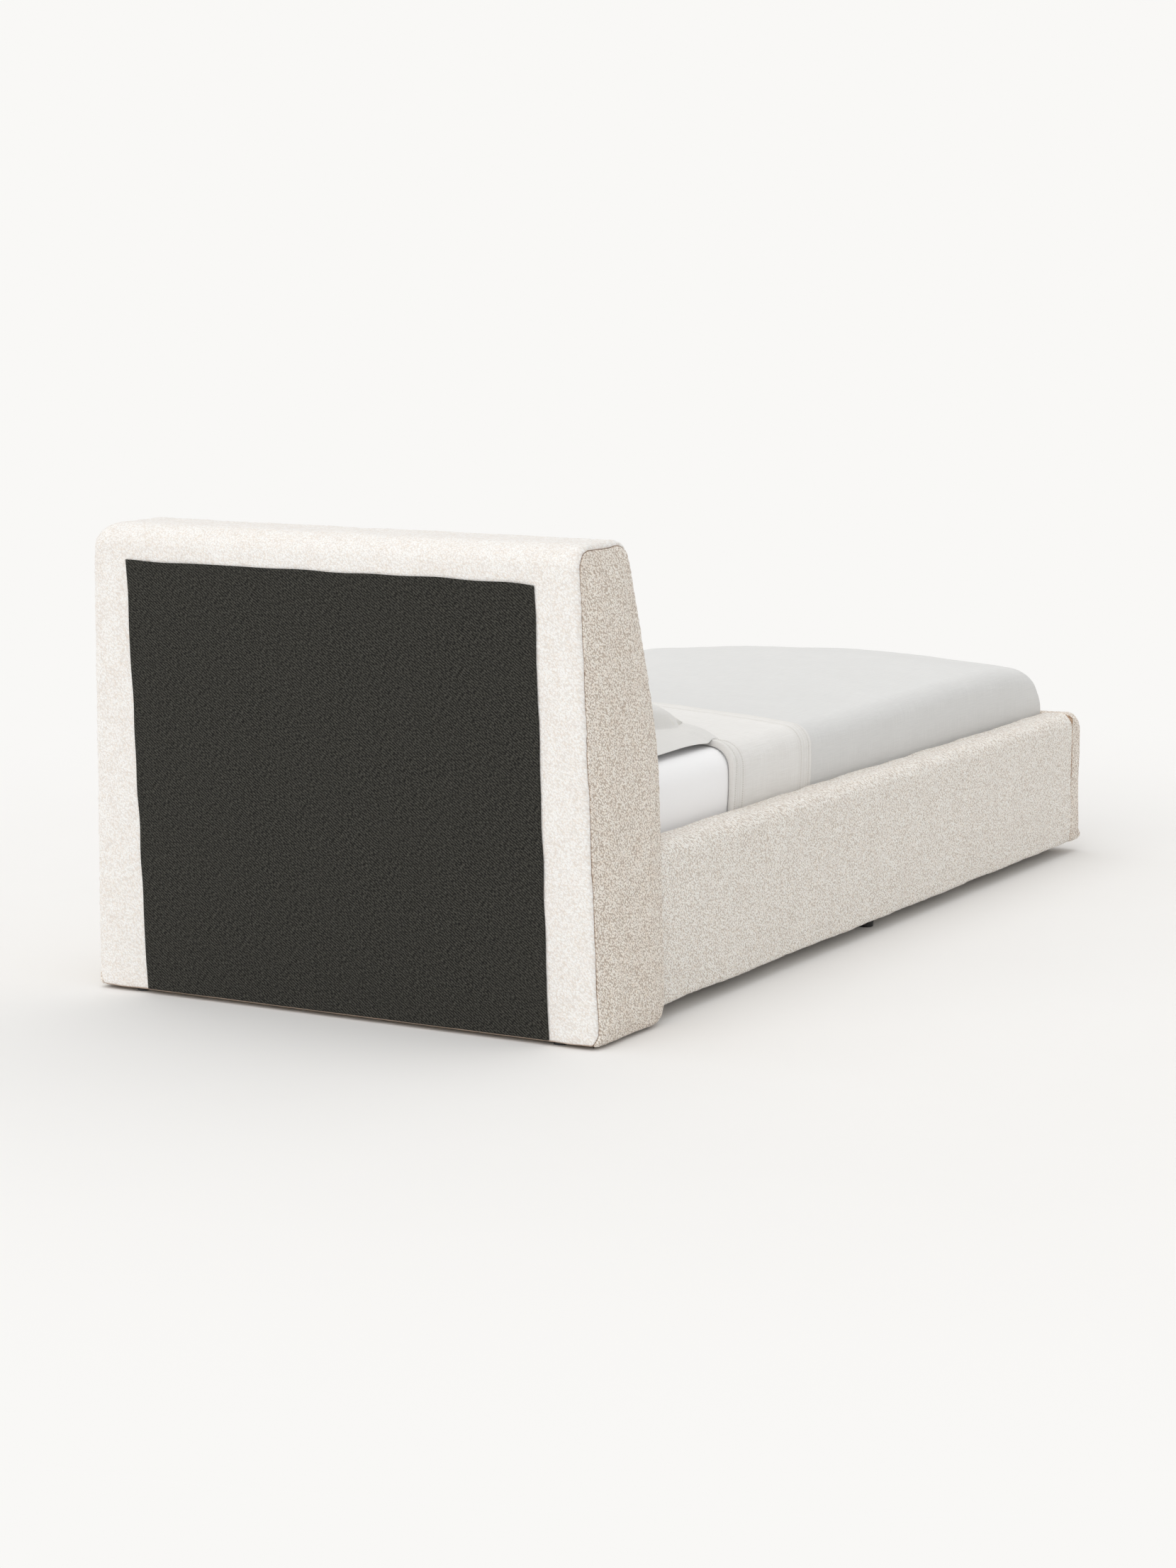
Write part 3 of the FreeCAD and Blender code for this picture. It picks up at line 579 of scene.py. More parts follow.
def make_piece(name, points, faces, material, weights=None):
    """A mesh object at the origin. Weights become the point attribute that relief is multiplied by, and that
    paints seam shade on the boucle where it is low.
    """
    used = np.unique(np.fromiter((v for face in faces for v in face), int))
    place = np.full(len(points), -1)
    place[used] = np.arange(len(used))
    mesh = bpy.data.meshes.new(name)
    mesh.from_pydata(points[used].tolist(), [], [[int(place[v]) for v in face] for face in faces])
    if weights is not None:
        attribute = mesh.attributes.new("relief", "FLOAT", "POINT")
        attribute.data.foreach_set("value", weights[used].astype(np.float32))
    soft = bmesh.new()
    soft.from_mesh(mesh)
    bmesh.ops.remove_doubles(soft, verts=soft.verts, dist=MERGE)
    bmesh.ops.dissolve_degenerate(soft, edges=soft.edges, dist=MERGE)
    bmesh.ops.recalc_face_normals(soft, faces=soft.faces)
    if soft.calc_volume(signed=True) < 0:
        bmesh.ops.reverse_faces(soft, faces=soft.faces)
    open_edges = sum(1 for edge in soft.edges if len(edge.link_faces) != 2)
    soft.to_mesh(mesh)
    soft.free()
    mesh.materials.append(material)
    print(f"{name}: {len(mesh.vertices)} points, {len(mesh.polygons)} faces, {open_edges} open edges")
    return shade_smooth(add_object(name, mesh))


def shell_piece(name, outside, inside, material, weight=None, **rims):
    """A piece from a closed shell. Only its outside has a weight, so the inside and the rims stay smooth."""
    points, faces = closed_shell(outside, inside, **rims)
    if weight is not None:
        weight = np.broadcast_to(weight, outside.shape[:2]).ravel()
        weight = np.concatenate([weight, np.zeros(len(points) - len(weight))])
    return make_piece(name, points, faces, material, weight)


def wrapped_piece(name, grid, material, weight=None):
    """A piece from one grid, whose rows go all the way round and whose outer columns close it."""
    number = numbered(grid)
    return make_piece(name, grid.reshape(-1, 3), grid_faces(np.vstack([number, number[:1]])), material,
                      weight)


# %% [markdown]
# ## Relief from Geometry Nodes
# Loops of yarn stand a millimetre or so out of the cloth. They follow one rule over the whole surface, so
# a Geometry Nodes tree makes them: each point moves along its normal by a noise, as far as the point's
# relief attribute lets it. Rims and the inside of a cover have no relief. The tree has named inputs, so
# boucle, twill and bed linen all use it with their own sizes.

# %% The relief tree
NOISE_SWING = 2.6                  # a noise keeps near its middle; this makes its swing about 1


def new_geometry_tree(name, **defaults):
    """A Geometry Nodes tree that takes a geometry, these numbers and a material. Returns its inputs too."""
    tree = bpy.data.node_groups.new(name, "GeometryNodeTree")
    tree.interface.new_socket("Geometry", in_out="INPUT", socket_type="NodeSocketGeometry")
    for key, default in defaults.items():
        kind = "NodeSocketInt" if isinstance(default, int) else "NodeSocketFloat"
        title = key.replace("_", " ").title()
        tree.interface.new_socket(title, in_out="INPUT", socket_type=kind).default_value = default
    tree.interface.new_socket("Material", in_out="INPUT", socket_type="NodeSocketMaterial")
    tree.interface.new_socket("Geometry", in_out="OUTPUT", socket_type="NodeSocketGeometry")
    return tree, add_node("NodeGroupInput", tree=tree)


def finish_geometry(geometry, given):
    """Ends a tree: instances become real, and get the material."""
    real = add_node("GeometryNodeRealizeInstances", {"Geometry": geometry})
    dressed = add_node("GeometryNodeSetMaterial", {"Geometry": real[0], "Material": given["Material"]})
    add_node("NodeGroupOutput", {0: dressed[0]})


def make_relief_tree():
    tree, given = new_geometry_tree("cloth_relief", curl_size=0.008, curl_height=0.001, lump_size=0.06,
                                    lump_height=0.001)
    place = add_node("GeometryNodeInputPosition", tree=tree)[0]
    normal = add_node("GeometryNodeInputNormal", tree=tree)[0]
    weight = add_node("GeometryNodeInputNamedAttribute", {"Name": "relief"}, tree=tree, data_type="FLOAT")[0]

    def lumps(kind):
        scale = 1.0 / given[f"{kind} Size"]
        value = add_node("ShaderNodeTexNoise", {"Vector": place, "Scale": scale, "Detail": 1.0})[0]
        return (value - 0.5) * (given[f"{kind} Height"] * NOISE_SWING)

    amount = (lumps("Curl") + lumps("Lump")) * weight
    moved = add_node("GeometryNodeSetPosition", {"Geometry": given["Geometry"],
                                                 "Offset": scaled(normal, amount)})
    finish_geometry(moved[0], given)
    return tree


relief_tree = make_relief_tree()


def run_tree(piece, tree, values):
    """Runs a Geometry Nodes tree with these inputs on a piece, and makes the result its mesh."""
    modifier = piece.modifiers.new(tree.name, "NODES")
    modifier.node_group = tree
    keys = {item.name: item.identifier for item in tree.interface.items_tree if item.in_out == "INPUT"}
    for name, value in values.items():
        modifier[keys[name]] = value
    evaluated = piece.evaluated_get(bpy.context.evaluated_depsgraph_get())
    mesh = bpy.data.meshes.new_from_object(evaluated)
    piece.modifiers.remove(modifier)
    old = piece.data
    piece.data = mesh
    mesh.name = piece.name
    bpy.data.meshes.remove(old)


def add_relief(piece, curl_size, curl_height, lump_size, lump_height):
    run_tree(piece, relief_tree, {"Curl Size": curl_size, "Curl Height": curl_height, "Lump Size": lump_size,
                                  "Lump Height": lump_height, "Material": piece.data.materials[0]})
    shade_smooth(piece)
    print(f"{piece.name}: relief on {len(piece.data.vertices)} points")


def boucle_relief(piece):
    add_relief(piece, curl_size=0.0085, curl_height=0.0011, lump_size=0.09, lump_height=0.0015)


def wobble(along, size, seed):
    """A smooth uneven wave between about -1 and 1, with bumps about `size` long."""
    random = np.random.default_rng(seed)
    lengths = (size * k for k in (0.8, 1.0, 1.37, 1.9))
    return sum(np.sin(along * math.tau / length + random.uniform(0, math.tau)) for length in lengths) / 2.5


def ripples(a, b, size, seed):
    """The same over a surface, with waves in many directions."""
    random = np.random.default_rng(seed)
    total = 0.0
    for k in (0.7, 0.85, 1.0, 1.2, 1.45, 1.8):
        turn = random.uniform(0, math.pi)
        along = a * math.cos(turn) + b * math.sin(turn)
        total = total + np.sin(along * math.tau / (size * k) + random.uniform(0, math.tau))
    return total / 3.0


def bump_at(values, middle, width):
    """1 at the middle value, falling off smoothly to each side."""
    return np.exp(-((values - middle) / width) ** 2)


# %% [markdown]
# ## The headboard's cover
# The headboard is a tall wedge: its back leans a little, its front leans away from the sleeper, and its
# ends lean in. It is covered by one long panel, which runs up the back, over the top and down the front,
# and by an end panel at each side. The panels meet in a seam that pulls the cloth in, and beside it the
# cloth puckers. The outline below is the wedge seen from its end. Each of its points gets a line of points
# across the panel, round the edge, and on over the end to the middle of the end face.

# %% Outline of the headboard, seen from its end
HALF_ROWS = 268
FRONT_EDGE = 0.016                 # how round the headboard's upright front edges are
BOTTOM_ROUND = 0.048               # and its lower front edge
back_foot = head_front + HEAD_DEPTH
TOP_SETTLES = 0.003                # how far the soft top gives
TOP_BULGES = 0.006                 # and its front edge swells forward
BACK_TOP_ROUND = 0.042             # how round the top is at the back
FRONT_TOP_ROUND = 0.056            # and at the front
BEND_ROUND = 0.700                 # how gently the front bends away from the sleeper
crown_z = head_top - TOP_SETTLES
top_front = head_front + (head_top - HEAD_BEND_HEIGHT) * HEAD_FRONT_LEAN - TOP_BULGES
corners = [
    (head_front, head_bottom, BOTTOM_ROUND),
    (back_foot + HEAD_BACK_LEAN * head_bottom / head_top, head_bottom, 0.008),
    (back_foot + HEAD_BACK_LEAN, crown_z, BACK_TOP_ROUND),
    (top_front, crown_z, FRONT_TOP_ROUND),
    (head_front, HEAD_BEND_HEIGHT, BEND_ROUND),
]
line = rounded_line(corners)
under = np.array([(head_front + HEAD_DEPTH / 2, head_bottom)])
over = np.array([((back_foot + HEAD_BACK_LEAN + top_front) / 2, crown_z)])


def head_half_line(points):
    dense = evenly(points, 3000)
    hidden = (dense[:, 0] < head_front + 0.05) & (dense[:, 1] < 0.40) | (dense[:, 1] < head_bottom + 0.002)
    return evenly(dense, HALF_ROWS, np.where(hidden, 0.0058, 0.0038))


by_back = head_half_line(np.vstack([under, line[ARC_POINTS:3 * ARC_POINTS], over]))
by_front = head_half_line(np.vstack([over, line[3 * ARC_POINTS:], line[:ARC_POINTS], under]))
outline = np.vstack([by_back[:-1], by_front[:-1]])
outline_normal = outward(outline)
ROWS = len(outline)
facing = faced(outline_normal)
print("headboard outline:", ROWS, "points")


def around(bottom, back, top, front, window=7):
    """A value for each row of the outline, from its values on the four faces."""
    return softened(np.choose(facing, [bottom, back, top, front]), window)


run = np.concatenate([[0], np.cumsum(np.linalg.norm(np.diff(outline, axis=0), axis=1))])[:, None]
# an edge can't be rounder than the outline's own corner, or the cloth would fold over itself there
turned, walked = (np.linalg.norm(np.roll(values, -1, axis=0) - np.roll(values, 1, axis=0), axis=1)
                  for values in (outline_normal, outline))
roundest = 0.85 / np.maximum(turned / walked, 1e-3)
right_edge = np.minimum(around(0.008, 0.012, 0.055, FRONT_EDGE, 9), roundest)
edge_radius = {LEFT: around(0.008, 0.012, 0.014, FRONT_EDGE), RIGHT: softened(right_edge, 5)}
# how far round the edge the seam lies; less than nothing is on the flat before it
right_seam = around(-0.018, 0.0155, 0.063, FRONT_EDGE * 0.6, 9)
seam_place = {LEFT: around(-0.018, 0.0155, 0.018, FRONT_EDGE * 0.6, 5),
              RIGHT: np.minimum(right_seam, edge_radius[RIGHT] * 1.15)}
for side, seed in ((LEFT, 1), (RIGHT, 2)):
    for size, amount in ((0.13, 0.0012), (0.03, 0.0004)):
        seam_place[side] = seam_place[side] + amount * wobble(run[:, 0], size, seed)


def head_half_at(z):
    """Half the headboard's width at a height."""
    return head_half - HEAD_SIDE_LEAN * z / head_top


def head_edge(side, places):
    """Points at places (rows x n) round an edge, measured along the cloth from where the flat ends."""
    radius = edge_radius[side][:, None]
    turn = np.clip(places / radius, 0, math.pi / 2)
    edge = round_edge(outline, outline_normal, radius, turn, head_half_at)
    edge[:, :, 0] = side * (edge[:, :, 0] + np.minimum(places, 0))
    return edge


def between(low, high, count):
    """`count` values from low to high, for each row."""
    return low[:, None] + (high - low)[:, None] * np.linspace(0, 1, count)[None]


# %% Grids of the long panel and the ends
PANEL_COLUMNS = 216
END_COLUMNS = 36
EDGE_POINTS = 24
SEAM_STEP, PLAIN_STEP, FAR_STEP = 0.0011, 0.0036, 0.0064   # between points: by the seam, near it, mid-panel


def from_rim(dense):
    """Spacing for points on a line: close together near its first point, where the seam is."""
    away = np.linalg.norm(dense - dense[0], axis=1)
    return SEAM_STEP + (PLAIN_STEP - SEAM_STEP) * smooth_step(away, 0.002, 0.014)


flat_end = np.full(ROWS, -0.004)
left_edge = head_edge(LEFT, between(flat_end, seam_place[LEFT], EDGE_POINTS))[:, ::-1]
right_edge = head_edge(RIGHT, between(flat_end, seam_place[RIGHT], EDGE_POINTS))
panel = []
for row in range(ROWS):
    dense = evenly(np.vstack([left_edge[row], right_edge[row]]), 900)
    spacing = np.minimum(from_rim(dense), from_rim(dense[::-1])[::-1])
    spacing[np.abs(dense[:, 0]) < 0.40] = FAR_STEP
    panel.append(evenly(dense, PANEL_COLUMNS, spacing))
panel = np.array(panel)
end_middle = middle_of(outline, head_bottom + 0.11, head_top - 0.11)


def head_end_grid(side):
    edge = head_edge(side, between(seam_place[side], edge_radius[side] * math.pi / 2, EDGE_POINTS))
    middle = np.column_stack([side * head_half_at(end_middle[:, 1]), end_middle])
    rows = []
    for row in range(ROWS):
        dense = evenly(np.vstack([edge[row], middle[row]]), 300)
        rows.append(evenly(dense, END_COLUMNS, from_rim(dense)))
    return np.array(rows)


ends = {side: head_end_grid(side) for side in SIDES.values()}


# %% Puff the cloth up and pull its seams in
SEAM_DEPTH, SEAM_HALF = 0.0034, 0.0048   # how far a seam pulls the cloth in, and how far from it that begins
PUCKER, PUCKER_SIZE = 0.0009, 0.016      # the puckers beside it


def seam_pull(away, along, seed):
    """How far the cloth sinks at a distance from a seam, and puckers beside it."""
    sink = SEAM_DEPTH * np.clip(1 - away / SEAM_HALF, 0, 1) ** 2
    pucker = PUCKER * wobble(along, PUCKER_SIZE, seed) * np.exp(-away / 0.011) * np.clip(away / 0.003, 0, 1)
    return pucker - sink


def cloth_lengths(grid):
    """For each point, its distance along its row from the first column."""
    steps = np.linalg.norm(np.diff(grid, axis=1), axis=2)
    return np.concatenate([np.zeros((len(grid), 1)), np.cumsum(steps, axis=1)], axis=1)


reach = cloth_lengths(panel)
panel_normal = grid_normals(panel, wrap=True)
rise = seam_pull(reach, run, 3) + seam_pull(reach[:, -1:] - reach, run, 4)
# a soft swelling of the margins between the seam and the dust cloth's edge
on_back = (outline_normal[:, :1] > 0.7) * np.ones_like(reach)
rise += 0.0025 * on_back * bump_at(np.abs(panel[:, :, 0]), 0.49, 0.035)
panel = panel + panel_normal * rise[:, :, None]
panel[:, :, 2] = np.maximum(panel[:, :, 2], head_bottom - 0.001)
# the weight is 0 by the seams and along the bottom edge: no relief there, and painted shade on the boucle
panel_weight = np.clip(np.minimum(reach, reach[:, -1:] - reach) / 0.004, 0, 1)
panel_weight = panel_weight * smooth_step(outline[:, 1:], head_bottom + 0.002, head_bottom + 0.010)


def end_normals(grid, side):
    """Normals of an end face. Where its rows run together in the middle, they all point straight out."""
    flat = smooth_step(cloth_lengths(grid), 0.040, 0.055)[:, :, None]
    normal = grid_normals(grid, wrap=True) * side * (1 - flat) + np.array((side, 0, 0)) * flat
    return normal / np.linalg.norm(normal, axis=2, keepdims=True)


end_weight, end_normal = {}, {}
for side, grid in ends.items():
    reach = cloth_lengths(grid)
    normal = end_normals(grid, side)
    rise = seam_pull(reach, run, 5 + side)
    rise += 0.0060 * smooth_step(reach, 0.0, 0.07) * np.abs(normal[:, :, 0])
    ends[side] = grid + normal * rise[:, :, None]
    end_normal[side] = end_normals(ends[side], side)
    # the weight is 0 at the seam: no relief there, and painted seam shade
    end_weight[side] = np.clip(reach / 0.004, 0, 1)


# %% Sew the three panels
TURN_UNDER = 0.026
rows_from_under = np.linalg.norm(outline - under, axis=1)
to_front = outline[:, 0] < under[0, 0]
turned_up = np.where(to_front, BOTTOM_ROUND + 0.004, 0.008 + TURN_UNDER)
turned_in = (outline_normal[:, 1] < -0.7) & (rows_from_under < HEAD_DEPTH / 2 - turned_up)
block_rows, block_columns = ROWS // 4, PANEL_COLUMNS // 2
keep = np.ones((block_rows, block_columns), bool)
keep[turned_in.reshape(block_rows, 4).any(axis=1)] = False
behind = (facing == 1) & (outline[:, 1] < head_top - 0.099) & (outline[:, 1] > 0.03)
open_columns = np.abs(panel[100, :-1, 0]).reshape(block_columns, 2).max(axis=1) < 0.414
keep[np.ix_(behind.reshape(block_rows, 4).all(axis=1), open_columns)] = False
headboard_panel = shell_piece("headboard_long_panel", panel, panel - panel_normal * COVER, boucle,
                              panel_weight, keep=keep, wrap=True)
boucle_relief(headboard_panel)

end_covers = {}
for name, side in SIDES.items():
    grid = ends[side]
    end_covers[name] = shell_piece(f"headboard_end_panel_cover_{name}", grid, grid - end_normal[side] * COVER,
                                   boucle_painted_shade_ends, end_weight[side], wrap=True, sealed=("last",))
    boucle_relief(end_covers[name])

# %% [markdown]
# ## The headboard's padding
# Under the boucle, foam softens the front, the top and the ends. It has the cover's own shape a few
# millimetres further in, so it is made from the same grids, only coarser, because nothing shows it.

# %% Foam under the headboard's cover
foam_material, place = new_material("upholstery_foam")
pores = add_node("ShaderNodeTexVoronoi", {"Vector": place, "Scale": 700.0})["Distance"]
tint = ramp(noise_of(place, 0.03), (0.3, srgb(236, 226, 196)), (0.7, srgb(243, 235, 210)))
# painted shade in the pores: the middle of each pore is darker
hole_shade = ramp(pores, (0.0, srgb(196, 182, 146)), (0.5, srgb(246, 240, 220)))
finish_material(blend_colours(0.5, tint, hole_shade), 0.92, pores, 0.4, 0.0006)


def foam_piece(name, outer, inner, **rims):
    return shell_piece(name, outer, inner, foam_material, every=(1, 1), **rims)


upper = np.nonzero((facing >= 2) & (outline[:, 1] > 0.302))[0]
rows = slice(upper[0] + 8, upper[-1], 4)
skin, normal = panel[rows, ::4], panel_normal[rows, ::4]
from_end = head_half_at(skin[:, :, 2]) - np.abs(skin[:, :, 0])
thick = 0.0052 + 0.0182 * smooth_step(from_end, 0.022, 0.06)[:, :, None]
front_foam = foam_piece("headboard_front_padding", skin - normal * 0.0036, skin - normal * (0.0036 + thick))
end_foams = {}
for name, side in SIDES.items():
    skin = ends[side][::2, 12::3]
    normal = end_normal[side][::2, 12::3]
    thick = 0.0052 + 0.0056 * smooth_step(cloth_lengths(skin), 0.0, 0.03)[:, :, None]
    end_foams[name] = foam_piece(f"headboard_end_padding_{name}", skin - normal * 0.005,
                                 skin - normal * (0.005 + thick), wrap=True, sealed=("last",))

# %% [markdown]
# ## Side rails
# A side rail is a board with foam round it, in a sleeve of boucle. Its outer top edge is full and round.
# The section is drawn once, as seen along the bed, and repeated every few millimetres. At the headboard
# the sleeve follows the headboard's rounded edge. At both ends the cloth rolls in a little and painted
# shade darkens it there, which together leave the narrow dark line where one padded part meets the next.

# %% Rail covers
RAIL_ROWS, RAIL_COLUMNS = 136, 476
ROW_STEP = 0.0045                  # about how far apart the rows of a section are
SWELL, SWELL_SIZE = 0.0011, 0.21   # how far soft padding swells and sinks, and from one swelling to the next
CLOTH_TO_CLOTH = 0.0004            # left between a sleeve and the footboard
ROLL = 0.0034                      # how far the cloth rolls in at a rail's foot end
RAIL_TOP_ROUND = 0.030             # how round a rail's outer top edge is
BOARD_EDGE = 0.010                 # how round a lower edge is, where cloth lies tight over a board
dense = from_below([(bay_half, panel_bottom, BOARD_EDGE), (rail_outside, panel_bottom, BOARD_EDGE),
                    (rail_outside, panel_top, RAIL_TOP_ROUND), (bay_half, panel_top, 0.012)])
seen = (dense[:, 0] > rail_outside - 0.055) & (dense[:, 1] > panel_bottom + 0.004)
section = evenly(dense, RAIL_ROWS, np.where(seen, 0.0044, 0.0070))[:-1]
section_normal = outward(section)


def round_off(beyond, radius):
    """How far a rounded edge falls back, this far beyond where its flat ends."""
    return radius * (1 - np.sqrt(1 - np.clip(beyond / radius, 0, 0.95) ** 2))


def rail_grid(side, depth=0.0):
    x, z = (section - section_normal * depth).T
    flat_half = head_half_at(z) - FRONT_EDGE
    recess = round_off(x - flat_half, FRONT_EDGE) + round_off(head_bottom + BOTTOM_ROUND - z, BOTTOM_ROUND)
    filling = round_off(x - rail_outside + 0.008, 0.008) + round_off(z - panel_top + 0.012, 0.012)
    first = foot_inside + CLOTH_TO_CLOTH - np.minimum(0.8 * filling, 0.006)
    last = head_front + recess - 0.0006
    along = evenly(np.linspace(0, 1, 2001)[:, None] * (last.mean() - foot_inside), RAIL_COLUMNS,
                   np.interp(np.linspace(0, 1, 2001), [0, 0.004, 0.012, 0.992, 0.998, 1],
                             [0.0012, 0.0016, 0.0043, 0.0043, 0.0016, 0.0012]))[:, 0]
    share = along / along[-1]
    y = first[:, None] + (last - first)[:, None] * share[None]
    grid = np.stack(np.broadcast_arrays(side * x[:, None], y, z[:, None]), axis=2)
    from_foot, from_head = y - y[:, :1], y[:, -1:] - y
    s = np.arange(len(x))[:, None] * ROW_STEP
    rise = -ROLL * np.clip(1 - from_foot / 0.006, 0, 1) ** 2
    rise = rise - 0.3 * ROLL * np.clip(1 - from_head / 0.004, 0, 1) ** 2
    rise = rise + 0.0006 * wobble(s, 0.018, 21 + side) * np.exp(-np.minimum(from_foot, from_head) / 0.012)
    rise = rise + SWELL * ripples(y, s + 2 * side, SWELL_SIZE, 23)
    normal = np.insert(section_normal * (side, 1), 1, 0, axis=1)[:, None]
    # the weight is 0 at the foot end and 0.3 at the head end: less relief there, and painted shade that draws
    # the dark line where the sleeve meets the next padded part
    weight = np.minimum(np.clip(from_foot / 0.006, 0, 1), np.clip(0.3 + from_head / 0.010, 0, 1))
    return grid + normal * rise[:, :, None], weight


rail_covers = {}
for name, side in SIDES.items():
    outer, weight = rail_grid(side)
    inner = rail_grid(side, COVER)[0]
    rail_covers[name] = shell_piece(f"rail_sleeve_{name}", outer, inner, boucle_painted_shade_rails, weight, wrap=True)
    boucle_relief(rail_covers[name])

# %% [markdown]
# ## Footboard
# The footboard is a low padded block across the foot of the bed, as high as the rails. Its outer corners
# are generously round, so that nobody bruises a shin, and its inner corners only a little, where the
# rails meet it. Like the headboard it is an outline seen from its end, carried across and round the edges.

# %% Foot cover
FOOT_ROWS = 168
FOOT_TOP_ROUND = 0.046             # how round the footboard's outer top edge is
FOOT_CORNER = 0.028                # and its ends, at the top and outside
dense = from_below([(foot_outside, panel_bottom, BOARD_EDGE), (foot_inside, panel_bottom, BOARD_EDGE),
                    (foot_inside, panel_top, 0.012), (foot_outside + 0.005, panel_top, FOOT_TOP_ROUND)])
foot_section = evenly(dense, FOOT_ROWS)[:-1]
foot_normal = outward(foot_section)
foot_edge = np.choose(faced(foot_normal), [BOARD_EDGE, 0.008, FOOT_CORNER, FOOT_CORNER])
foot_edge = softened(foot_edge.astype(float), 3)


def foot_grid(side):
    """From the middle of the footboard out, round the edge, and in to the middle of its end."""
    edge = round_edge(foot_section, foot_normal, foot_edge[:, None], np.linspace(0, math.pi / 2, 14)[None],
                      lambda z: rail_outside)
    middle = middle_of(foot_section, panel_bottom + 0.04, panel_top - 0.05)
    rows = []
    for row in range(FOOT_ROWS):
        start = np.array([(0.0, *foot_section[row])])
        end = np.array([(rail_outside, *middle[row])])
        dense = evenly(np.vstack([start, edge[row], end]), 1200)
        rows.append(evenly(dense, 132, np.where(dense[:, 0] > rail_outside - 0.06, 0.0036, 0.0048)))
    grid = np.array(rows)
    grid[:, :, 0] *= side
    return grid


foot_surface = np.concatenate([foot_grid(LEFT)[:, ::-1], foot_grid(RIGHT)[:, 1:]], axis=1)
normal_of_foot = grid_normals(foot_surface, wrap=True)
for side in SIDES.values():
    normal_of_foot[foot_surface[:, :, 0] * side > rail_outside - 0.0004] = (side, 0, 0)
s = np.arange(FOOT_ROWS)[:, None] * ROW_STEP
swell = SWELL * ripples(foot_surface[:, :, 0], s, SWELL_SIZE, 31)
swell = swell - 0.001 * (np.abs(foot_surface[:, :, 1] - foot_inside) < 0.012)
from_middle = np.minimum(np.arange(foot_surface.shape[1]), np.arange(foot_surface.shape[1])[::-1])
foot_surface = foot_surface + normal_of_foot * (swell * np.clip(from_middle / 6 - 0.2, 0, 1))[:, :, None]
# where the footboard touches a rail's sleeve: no relief, and painted shade in the joint
touching = np.abs(foot_surface[:, :, 1] - foot_inside) < 0.006
touching &= np.abs(foot_surface[:, :, 0]) > bay_half - 0.003
foot_cover = wrapped_piece("footboard_cover", foot_surface, boucle_painted_shade_ends, 1.0 - touching.ravel())
boucle_relief(foot_cover)

# %% [markdown]
# ## Dust cloth
# Upholsterers close the back of a headboard with a plain black cloth, folded under at its edges and
# stapled over the boucle. It is stretched by hand, so it is never quite square: one side leans, a corner
# droops, and short creases run in from the near edge. Its weave is a fine twill with slanting, uneven
# ribs. Ribs and threads come from one pair of slanted coordinates in the material.

# %% Dust cloth material
TWILL_PITCH = 0.0044               # from one slanting rib to the next
TWILL_SLANT = math.radians(36)
STREAK = 0.38                      # how much the threads' pattern is drawn out along the ribs

black_twill, place = new_material("black_twill")
flat = parts_of(warped(place, 0.02, 0.0012))
cos_slant, sin_slant = math.cos(TWILL_SLANT), math.sin(TWILL_SLANT)
across = flat["Z"] * cos_slant - flat["X"] * sin_slant
along = flat["Z"] * sin_slant + flat["X"] * cos_slant
rib = sine(across * (math.tau / TWILL_PITCH))
drawn = add_node("ShaderNodeCombineXYZ", {"X": across, "Y": along * STREAK})[0]
threads = noise_of(drawn, 0.0021, 2.0, 0.6)
fuzz = noise_of(place, 0.0016, 3.0, 0.7)
worn = noise_of(place, 0.12, 3.0)
weave = threads + rib * 0.1
lit = weave * 0.75 + fuzz * 0.25
colour = ramp(lit, (0.4, srgb(9, 8, 7)), (0.64, srgb(74, 73, 67)))
colour = blend_colours(worn * 0.25, colour, srgb(50, 49, 45))
finish_material(colour, 0.88, lit, 0.6, 0.0012, **cloth_sheen(0.04, 0.5, 0.2))

# %% Dust cloth
cloth_low, cloth_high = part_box("headboard_back_cloth")
CLOTH_THICKNESS = 0.0012
HEM = 0.015
CLOTH_SKEW = 0.014                 # its bottom lies this much further to the left than its top
CLOTH_RISE = 0.006                 # and it was pulled this much past its marks at the top
CLOTH_REACH = 0.005                # and at one side
CLOTH_DROP = 0.005                 # and at the bottom
CORNER_DROOP = 0.005
CLOTH_ROWS, CLOTH_COLUMNS = 204, 220
cloth_width = cloth_high.x - cloth_low.x + CLOTH_REACH
cloth_height = cloth_high.z - cloth_low.z + CLOTH_RISE + CLOTH_DROP
u = np.linspace(0, 1, CLOTH_COLUMNS + 1)[None]
v = np.linspace(0, 1, CLOTH_ROWS + 1)[:, None]
x = cloth_low.x - CLOTH_REACH + cloth_width * u + CLOTH_SKEW * (v - 0.5) + 0 * v
z = cloth_low.z - CLOTH_DROP + cloth_height * v + 0 * u
# its top corner droops, and its edges aren't quite straight
z = z - CORNER_DROOP * np.clip(1 - (u * cloth_width) / 0.08, 0, 1) ** 2 * v ** 6
z = z + 0.0012 * wobble(x, 0.17, 41) * v ** 8
x = x + 0.0012 * wobble(z, 0.14, 42) * (np.exp(-u / 0.05) + np.exp(-(1 - u) / 0.05))
from_edge = np.minimum(np.minimum(u * cloth_width, (1 - u) * cloth_width), (1 - v) * cloth_height)
back_plane = back_foot + HEAD_BACK_LEAN * z / head_top
